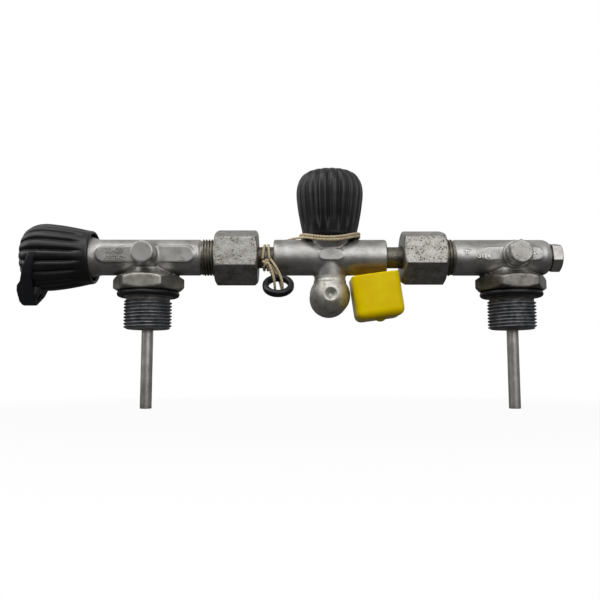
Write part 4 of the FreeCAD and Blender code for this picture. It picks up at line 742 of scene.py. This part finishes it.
roll_up(knob_tree, grid, angle, radius, side["Z"], given["Finish"])
print("knob tree:", len(knob_tree.nodes), "nodes")

# %% [markdown]
# The profile is drawn once and used for both grips. One stands upright over the centre valve,
# and the other lies at the left end. Each starts at the rim of the grip that it stands for.
# %% Two knobs


def profile_curve(name, points_mm):
    """A smooth curve through the profile, drawn in the XZ plane."""
    curve = bpy.data.curves.new(name, "CURVE")
    curve.dimensions = "3D"
    spline = curve.splines.new("BEZIER")
    spline.bezier_points.add(len(points_mm) - 1)
    for point, (radius_mm, height_mm) in zip(spline.bezier_points, points_mm):
        point.co = (radius_mm * MM, 0.0, height_mm * MM)
        point.handle_left_type = "AUTO"
        point.handle_right_type = "AUTO"
    return curve


def knob(node, start, direction, twist):
    """A ribbed grip that stands for a CAD grip."""
    matrix = upright_frame(start, direction) @ Matrix.Rotation(twist, 4, "Z")
    obj = grown(node + "_grip", knob_tree, profile_curve(node + "_profile", KNOB_PROFILE),
                matrix, Ribs=KNOB_RIBS, Rib_depth=RIB_DEPTH, Finish=knob_rubber)
    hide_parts(node)
    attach(obj, body_of[node])
    print(node, "grown:", len(obj.data.polygons), "faces")


valve_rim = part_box("valve_knob")[0].z
reserve_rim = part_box("reserve_knob")[1].x
knob("valve_knob", Vector((VALVE_X, 0, valve_rim)), (0, 0, 1), KNOB_TWIST)
knob("reserve_knob", Vector((reserve_rim, 0, BAR_Z)), (-1, 0, 0), KNOB_TWIST)

# %% [markdown]
# ## Lever, pull ring and dust cap
# The lever and the ring are simple mouldings with generous radii, so a softened copy is all
# they need. The cap is a dipped sleeve: thick, round-edged and a bit wavy, so it gets larger
# cells and more relaxing.
# %% Soft mouldings
softened("reserve_lever", lever_plastic, cell_mm=0.4, passes=6)
softened("pull_ring", ring_rubber, cell_mm=0.35, passes=4)
softened("dust_cap", cap_vinyl, cell_mm=0.5, passes=8)

# %% [markdown]
# ## Raised numbers
# Foundries cast plain raised numbers into the flat pads. Text objects give clean figures: each
# is pushed out by a third of a millimetre, given a small bevel, made a mesh, and laid on the
# pad's face. The numbers mean nothing here.
# %% Numbers on the pads
FIGURE_SHARE = 0.7  # a figure's height as a share of the font's size
FIRST_NUMBER_Y = -10.0 * MM


def raised_number(name, digits, left, low, height, face_y, node):
    """Raised figures on a face that looks towards -Y."""
    words = bpy.data.curves.new(name, "FONT")
    words.body = digits
    words.size = height / FIGURE_SHARE
    words.extrude = NUMBER_RELIEF
    words.bevel_depth = 0.08 * MM
    words.bevel_resolution = 1
    words.offset = 0.05 * MM
    words.space_character = 1.08
    obj = baked(link(bpy.data.objects.new(name, words)))
    obj.data.transform(Matrix.Translation((left, face_y, low)) @ Matrix.Rotation(
        math.pi / 2, 4, "X"))
    obj.data.materials.clear()
    # The figures get the lighter plating, a painted highlight.
    obj.data.materials.append(highlit_figure)
    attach(obj, body_of[node])


def on_pad(x_mm, z_mm):
    """A corner on a pad, from a distance in X and a height above the crossbar's axis."""
    return x_mm * MM, BAR_Z + z_mm * MM


# (name, digits, left edge and lower edge, height in mm, the pad's face, node)
numbers = [
    ("left_upper_number", "30427", *on_pad(-22.2, 1.0), 2.7, LEFT_PAD_Y, "reserve_post_body"),
    ("left_lower_number", "185062", *on_pad(-23.4, -3.2), 2.7, LEFT_PAD_Y, "reserve_post_body"),
    ("left_small_number", "68", *on_pad(18.0, -3.2), 2.5, LEFT_PAD_Y, "reserve_post_body"),
    ("right_first_number", "70", *on_pad(175.2, 0.3), 2.2, FIRST_NUMBER_Y,
     "right_post_body"),
    ("right_middle_number", "3184", *on_pad(182.6, -1.8), 2.2, RIGHT_PAD_Y, "right_post_body"),
    ("right_last_number", "26", *on_pad(212.8, 0.4), 2.2, RIGHT_PAD_Y, "right_post_body"),
]
for name, digits, left, low, height_mm, face_y, node in numbers:
    raised_number(name, digits, left, low, height_mm * MM, face_y, node)
print(len(numbers), "numbers made")

# %% [markdown]
# ## Cords
# A cord is a length of something limp. Its route is a short list of points, and a NURBS spline
# of order 3 makes one smooth line of them. The line is then read back as close points, and
# three thin strands are wound round it, because this cord is laid from three yarns and a plain
# tube would look like wire.
# %% Routes and strands
STRAND_R = 0.40 * MM
LAY_R = 0.35 * MM
LAY_LENGTH = 5.5 * MM


def at_bar(points_mm):
    """Points given in millimetres, with heights above the crossbar's axis, in metres."""
    return [Vector((x * MM, y * MM, BAR_Z + z * MM)) for x, y, z in points_mm]


def centreline(points):
    """The smooth line of a route, as close points."""
    curve = bpy.data.curves.new("route", "CURVE")
    curve.dimensions = "3D"
    curve.resolution_u = 12
    spline = curve.splines.new("NURBS")
    spline.points.add(len(points) - 1)
    for point, place in zip(spline.points, points):
        point.co = (*place, 1.0)
    spline.order_u = 3
    spline.use_endpoint_u = True
    obj = link(bpy.data.objects.new("route", curve))
    bpy.context.view_layer.update()
    graph = bpy.context.evaluated_depsgraph_get()
    mesh = bpy.data.meshes.new_from_object(obj.evaluated_get(graph))
    line = [v.co.copy() for v in mesh.vertices]
    bpy.data.objects.remove(obj)
    bpy.data.meshes.remove(mesh)
    return line


def laid_strands(name, line, sides=8):
    """Three yarns wound round a line, as one mesh. A frame is carried along without twisting."""
    skin = bmesh.new()
    steps = len(line)
    tangents = [(line[min(i + 1, steps - 1)] - line[max(i - 1, 0)]).normalized()
                for i in range(steps)]
    normal = tangents[0].orthogonal().normalized()
    travelled = 0.0
    rings = [[], [], []]
    for i, (place, tangent) in enumerate(zip(line, tangents)):
        if i:
            travelled += (place - line[i - 1]).length
            normal = (normal - tangent * normal.dot(tangent)).normalized()
        other = tangent.cross(normal)
        for yarn in range(3):
            wind = 2 * math.pi * (travelled / LAY_LENGTH + yarn / 3)
            out = normal * math.cos(wind) + other * math.sin(wind)
            around = tangent.cross(out)
            middle = place + out * LAY_R
            ring = []
            for side_step in range(sides):
                a = 2 * math.pi * side_step / sides
                ring.append(skin.verts.new(middle + out * (STRAND_R * math.cos(a))
                                           + around * (STRAND_R * math.sin(a))))
            rings[yarn].append(ring)
    for yarn_rings in rings:
        for low_ring, high_ring in zip(yarn_rings, yarn_rings[1:]):
            for k in range(sides):
                m = (k + 1) % sides
                skin.faces.new((low_ring[k], low_ring[m], high_ring[m], high_ring[k]))
        skin.faces.new(list(reversed(yarn_rings[0])))
        skin.faces.new(yarn_rings[-1])
    bmesh.ops.recalc_face_normals(skin, faces=skin.faces)
    mesh = bpy.data.meshes.new(name)
    skin.to_mesh(mesh)
    skin.free()
    mesh.materials.append(cord_cotton)
    mesh.shade_smooth()
    return link(bpy.data.objects.new(name, mesh))


def strung(name, points, node):
    """A cord along a route, which stands for a CAD cord."""
    line = centreline(points)
    obj = laid_strands(name, line)
    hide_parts(node)
    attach(obj, body_of[node])


def knot(name, centre, size, node, twist):
    """A small overhand knot: a trefoil line, thickened with the same strands."""
    line = []
    for i in range(73):
        t = 2 * math.pi * i / 72
        line.append(Vector(((math.sin(t) + 2 * math.sin(2 * t)) / 3,
                            (math.cos(t) - 2 * math.cos(2 * t)) / 3,
                            -math.sin(3 * t) * 0.55)) * size)
    turn_matrix = Matrix.Translation(centre) @ Matrix.Rotation(twist, 4, "X")
    obj = laid_strands(name, [turn_matrix @ p for p in line])
    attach(obj, body_of[node])
    return obj


# %% [markdown]
# The long cord starts behind the left tube, climbs over the barrel, and goes round the valve's
# neck one and a half times, sagging in front and behind. Its far end is a small knot.
# %% Neck cord
POINTS_PER_TURN = 24
WINDING_POINTS = 38
WINDING_R = 16.8
WINDING_IN = 1.2
WINDING_Z = 11.8
WINDING_CLIMB = 1.52
WINDING_SAG = 4.2


def winding_point(turn):
    """A place on the winding after so many turns, in millimetres round the valve's axis."""
    angle_here = 2 * math.pi * turn
    sag = math.sin(angle_here) ** 2
    radius_mm = WINDING_R - WINDING_IN * sag
    return (VALVE_X / MM + radius_mm * math.cos(angle_here), radius_mm * math.sin(angle_here),
            WINDING_Z + WINDING_CLIMB * turn - WINDING_SAG * sag)


lead = [(67.7, 8.8, -2.2), (67.8, 9.0, 1.2), (68.6, 8.9, 4.8), (70.6, 8.2, 8.2),
        (74.2, 6.8, 10.2), (78.6, 4.8, 11.2), (82.4, 1.6, 11.5)]
winding = [winding_point(-0.5 + (i + 0.5) / POINTS_PER_TURN) for i in range(WINDING_POINTS)]
last = Vector(winding[-1])
loose_end = last + Vector((-0.4, 3.6, -1.9))
neck_knot = knot("neck_cord_knot", at_bar([loose_end + (loose_end - last).normalized() * 0.7])[0],
                 0.85 * MM, "neck_cord", 0.4)
strung("neck_cord_line", at_bar(lead + winding + [tuple(loose_end)]), "neck_cord")

# %% [markdown]
# The lanyard is wound twice round the left tube and knotted in front. A doubled strand hangs
# from the knot and carries the pull ring.
# %% Lanyard
WRAP_R = 7.2
WRAP_SPREAD = 0.9
WRAP_CORNERS = 12
WRAP_START = math.radians(-14.0)
WRAP_END = math.radians(312.0)
knot_at = Vector(joints["pull_ring_swing"]["pos_m"])


def wrap_route(x_front, x_top, x_end):
    """One wrap that leaves the knot upwards and comes back to it from below."""
    points = []
    for corner in range(WRAP_CORNERS):
        share = corner / (WRAP_CORNERS - 1)
        angle_here = WRAP_START + (WRAP_END - WRAP_START) * share
        radius_mm = WRAP_R + WRAP_SPREAD * (2 * share - 1) ** 8
        x = x_front + (x_top - x_front) * min(1.0, share * 4) + (x_end - x_top) * share ** 2
        points.append((x, -radius_mm * math.cos(angle_here), radius_mm * math.sin(angle_here)))
    return at_bar(points)


strung("lanyard_wrap_left", wrap_route(64.0, 65.2, 64.6), "lanyard_wraps")
strung("lanyard_wrap_right", wrap_route(67.9, 67.1, 66.7), "lanyard_wraps")
lanyard_knot = knot("lanyard_front_knot", knot_at, 1.55 * MM, "lanyard_knot", 1.2)
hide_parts("lanyard_knot")

strand_left = [(67.5, -11.6, -4.6), (68.8, -12.8, -7.4), (70.0, -14.2, -10.8),
               (70.9, -14.9, -14.6), (71.2, -13.2, -18.2), (71.2, -9.6, -19.9),
               (71.0, -6.2, -18.0), (70.5, -5.0, -14.2), (69.4, -6.2, -10.4),
               (67.8, -8.6, -7.6)]
strand_right = [(68.6, -10.7, -2.6), (71.2, -12.4, -6.2), (73.4, -14.0, -10.4),
                (75.0, -15.0, -14.8), (75.4, -13.2, -18.4), (75.2, -9.6, -20.0),
                (74.6, -6.2, -18.2), (73.6, -4.9, -14.2), (71.8, -6.2, -10.2),
                (69.6, -8.4, -7.0), (68.5, -10.0, -5.6)]
strung("lanyard_strand_left", at_bar(strand_left), "lanyard_cord")
strung("lanyard_strand_right", at_bar(strand_right), "lanyard_cord")

# %% [markdown]
# The cap hangs on a cord of its own, from the winding down behind the cap and in through a hole
# in its back wall, where a knot stops it.
# %% Cap cord
CAP_CENTRE = Vector((127.6, 0.0, -22.5))
CAP_DEPTH = 28.0
CAP_HEIGHT = 24.4
CAP_WALL = 1.5
CAP_TILT = math.radians(8.0)
HOLE_UP = CAP_HEIGHT / 2 - 3.6
hole_x = CAP_CENTRE.x - HOLE_UP * math.sin(CAP_TILT)
hole_z = CAP_CENTRE.z + HOLE_UP * math.cos(CAP_TILT)
back_y = CAP_DEPTH / 2
cord_top = Vector(winding_point(0.14)) + Vector((0.5, 1.1, -1.15))
cap_route = [cord_top, cord_top + Vector((1.3, 0.9, -2.6)), cord_top + Vector((4.0, 1.8, -6.4)),
             (hole_x - 3.2, back_y + 2.5, hole_z + 9.6),
             (hole_x - 0.6, back_y + 3.4, hole_z + 4.8), (hole_x, back_y + 1.5, hole_z),
             (hole_x, back_y - CAP_WALL - 1.2, hole_z)]
stop_at = at_bar([(hole_x, back_y - CAP_WALL - 1.6, hole_z)])[0]
stop_knot = knot("cap_cord_knot", stop_at, 0.9 * MM, "cap_cord", 0.9)
strung("cap_cord_line", at_bar(cap_route), "cap_cord")

# %% [markdown]
# ## Stage and light
# A plain pale floor touches the lower ends of the dip tubes. Large soft lamps keep the plating
# from sparkling. For the camera, the world is plain white; what the metal mirrors runs from a
# bright sky to a darker ground, which gives the barrels their shading.
# %% Floor
FLOOR_SIZE = 6.0
floor_mesh = bpy.data.meshes.new("studio_floor")
half = FLOOR_SIZE / 2
floor_mesh.from_pydata([(-half, -half, LOW), (half, -half, LOW), (half, half, LOW),
                        (-half, half, LOW)], [], [(0, 1, 2, 3)])
floor = link(bpy.data.objects.new("studio_floor", floor_mesh))
floor_paint, tree, place = blank_material("pale studio paint")
matt = add(tree, "ShaderNodeBsdfDiffuse", {"Color": linear("#565656")})
glow = add(tree, "ShaderNodeEmission", {"Color": linear("#FFFFFF"), "Strength": 1.0})
away = add(tree, "ShaderNodeVectorMath", {0: place, 1: (VALVE_X, 0.0, LOW)},
           operation="DISTANCE").outputs["Value"]
whiteness = add(tree, "ShaderNodeMapRange", {"Value": away, "From Min": 0.12, "From Max": 0.34,
                                             "To Min": 0.96, "To Max": 1.0},
                interpolation_type="SMOOTHSTEP")
seen = add(tree, "ShaderNodeLightPath").outputs
for_camera = add(tree, "ShaderNodeMath", {0: seen["Is Camera Ray"], 1: whiteness},
                 operation="MULTIPLY")
paint = add(tree, "ShaderNodeMixShader", {0: for_camera, 1: matt, 2: glow})
add(tree, "ShaderNodeOutputMaterial", {"Surface": paint})
floor_mesh.materials.append(floor_paint)
print("floor at", round(LOW / MM, 2), "mm")

# %% Lamps


def soft_lamp(name, place_m, aim, size, power):
    """A white area lamp, its size in metres and its power in watts, aimed at a place."""
    data = bpy.data.lights.new(name, "AREA")
    data.shape = "RECTANGLE"
    data.size = size[0]
    data.size_y = size[1]
    data.energy = power
    lamp = link(bpy.data.objects.new(name, data))
    lamp.location = place_m
    lamp.rotation_euler = (Vector(aim) - Vector(place_m)).to_track_quat("-Z", "Y").to_euler()
    lamp.visible_camera = False
    return lamp


middle = (cad_box[0] + cad_box[1]) / 2
soft_lamp("overhead softbox", middle + Vector((-0.35, -0.35, 0.7)), middle, size=(0.9, 0.5),
          power=2.5)
soft_lamp("front fill", middle + Vector((0.35, -0.8, 0.4)), middle, size=(0.7, 0.7), power=2.4)
soft_lamp("left rim", middle + Vector((-0.8, -0.1, 0.35)), middle, size=(0.5, 0.5), power=1.2)
print("lamps:", len(bpy.data.lights))

# %% World
SKY_LIGHT = 0.54
GROUND_LIGHT = 0.05
world = bpy.data.worlds.new("studio world")
bpy.context.scene.world = world
world.use_nodes = True
tree = world.node_tree
tree.nodes.clear()
direction = add(tree, "ShaderNodeTexCoord").outputs["Generated"]
up = add(tree, "ShaderNodeSeparateXYZ", {0: direction}).outputs["Z"]
sky = add(tree, "ShaderNodeMapRange", {"Value": up, "From Min": -0.35, "From Max": 0.5,
                                       "To Min": GROUND_LIGHT, "To Max": SKY_LIGHT},
          interpolation_type="SMOOTHSTEP")
room = add(tree, "ShaderNodeBackground", {"Color": linear("#FFFFFF"), "Strength": sky})
plain = add(tree, "ShaderNodeBackground", {"Color": linear("#FFFFFF"), "Strength": 1.0})
seen = add(tree, "ShaderNodeLightPath").outputs
either = add(tree, "ShaderNodeMath", {0: seen["Is Camera Ray"], 1: seen["Is Transmission Ray"]},
             operation="MAXIMUM")
mixed = add(tree, "ShaderNodeMixShader", {0: either, 1: room, 2: plain})
add(tree, "ShaderNodeOutputWorld", {"Surface": mixed})
print("world: white for the camera,", SKY_LIGHT, "to", GROUND_LIGHT, "for the metal")
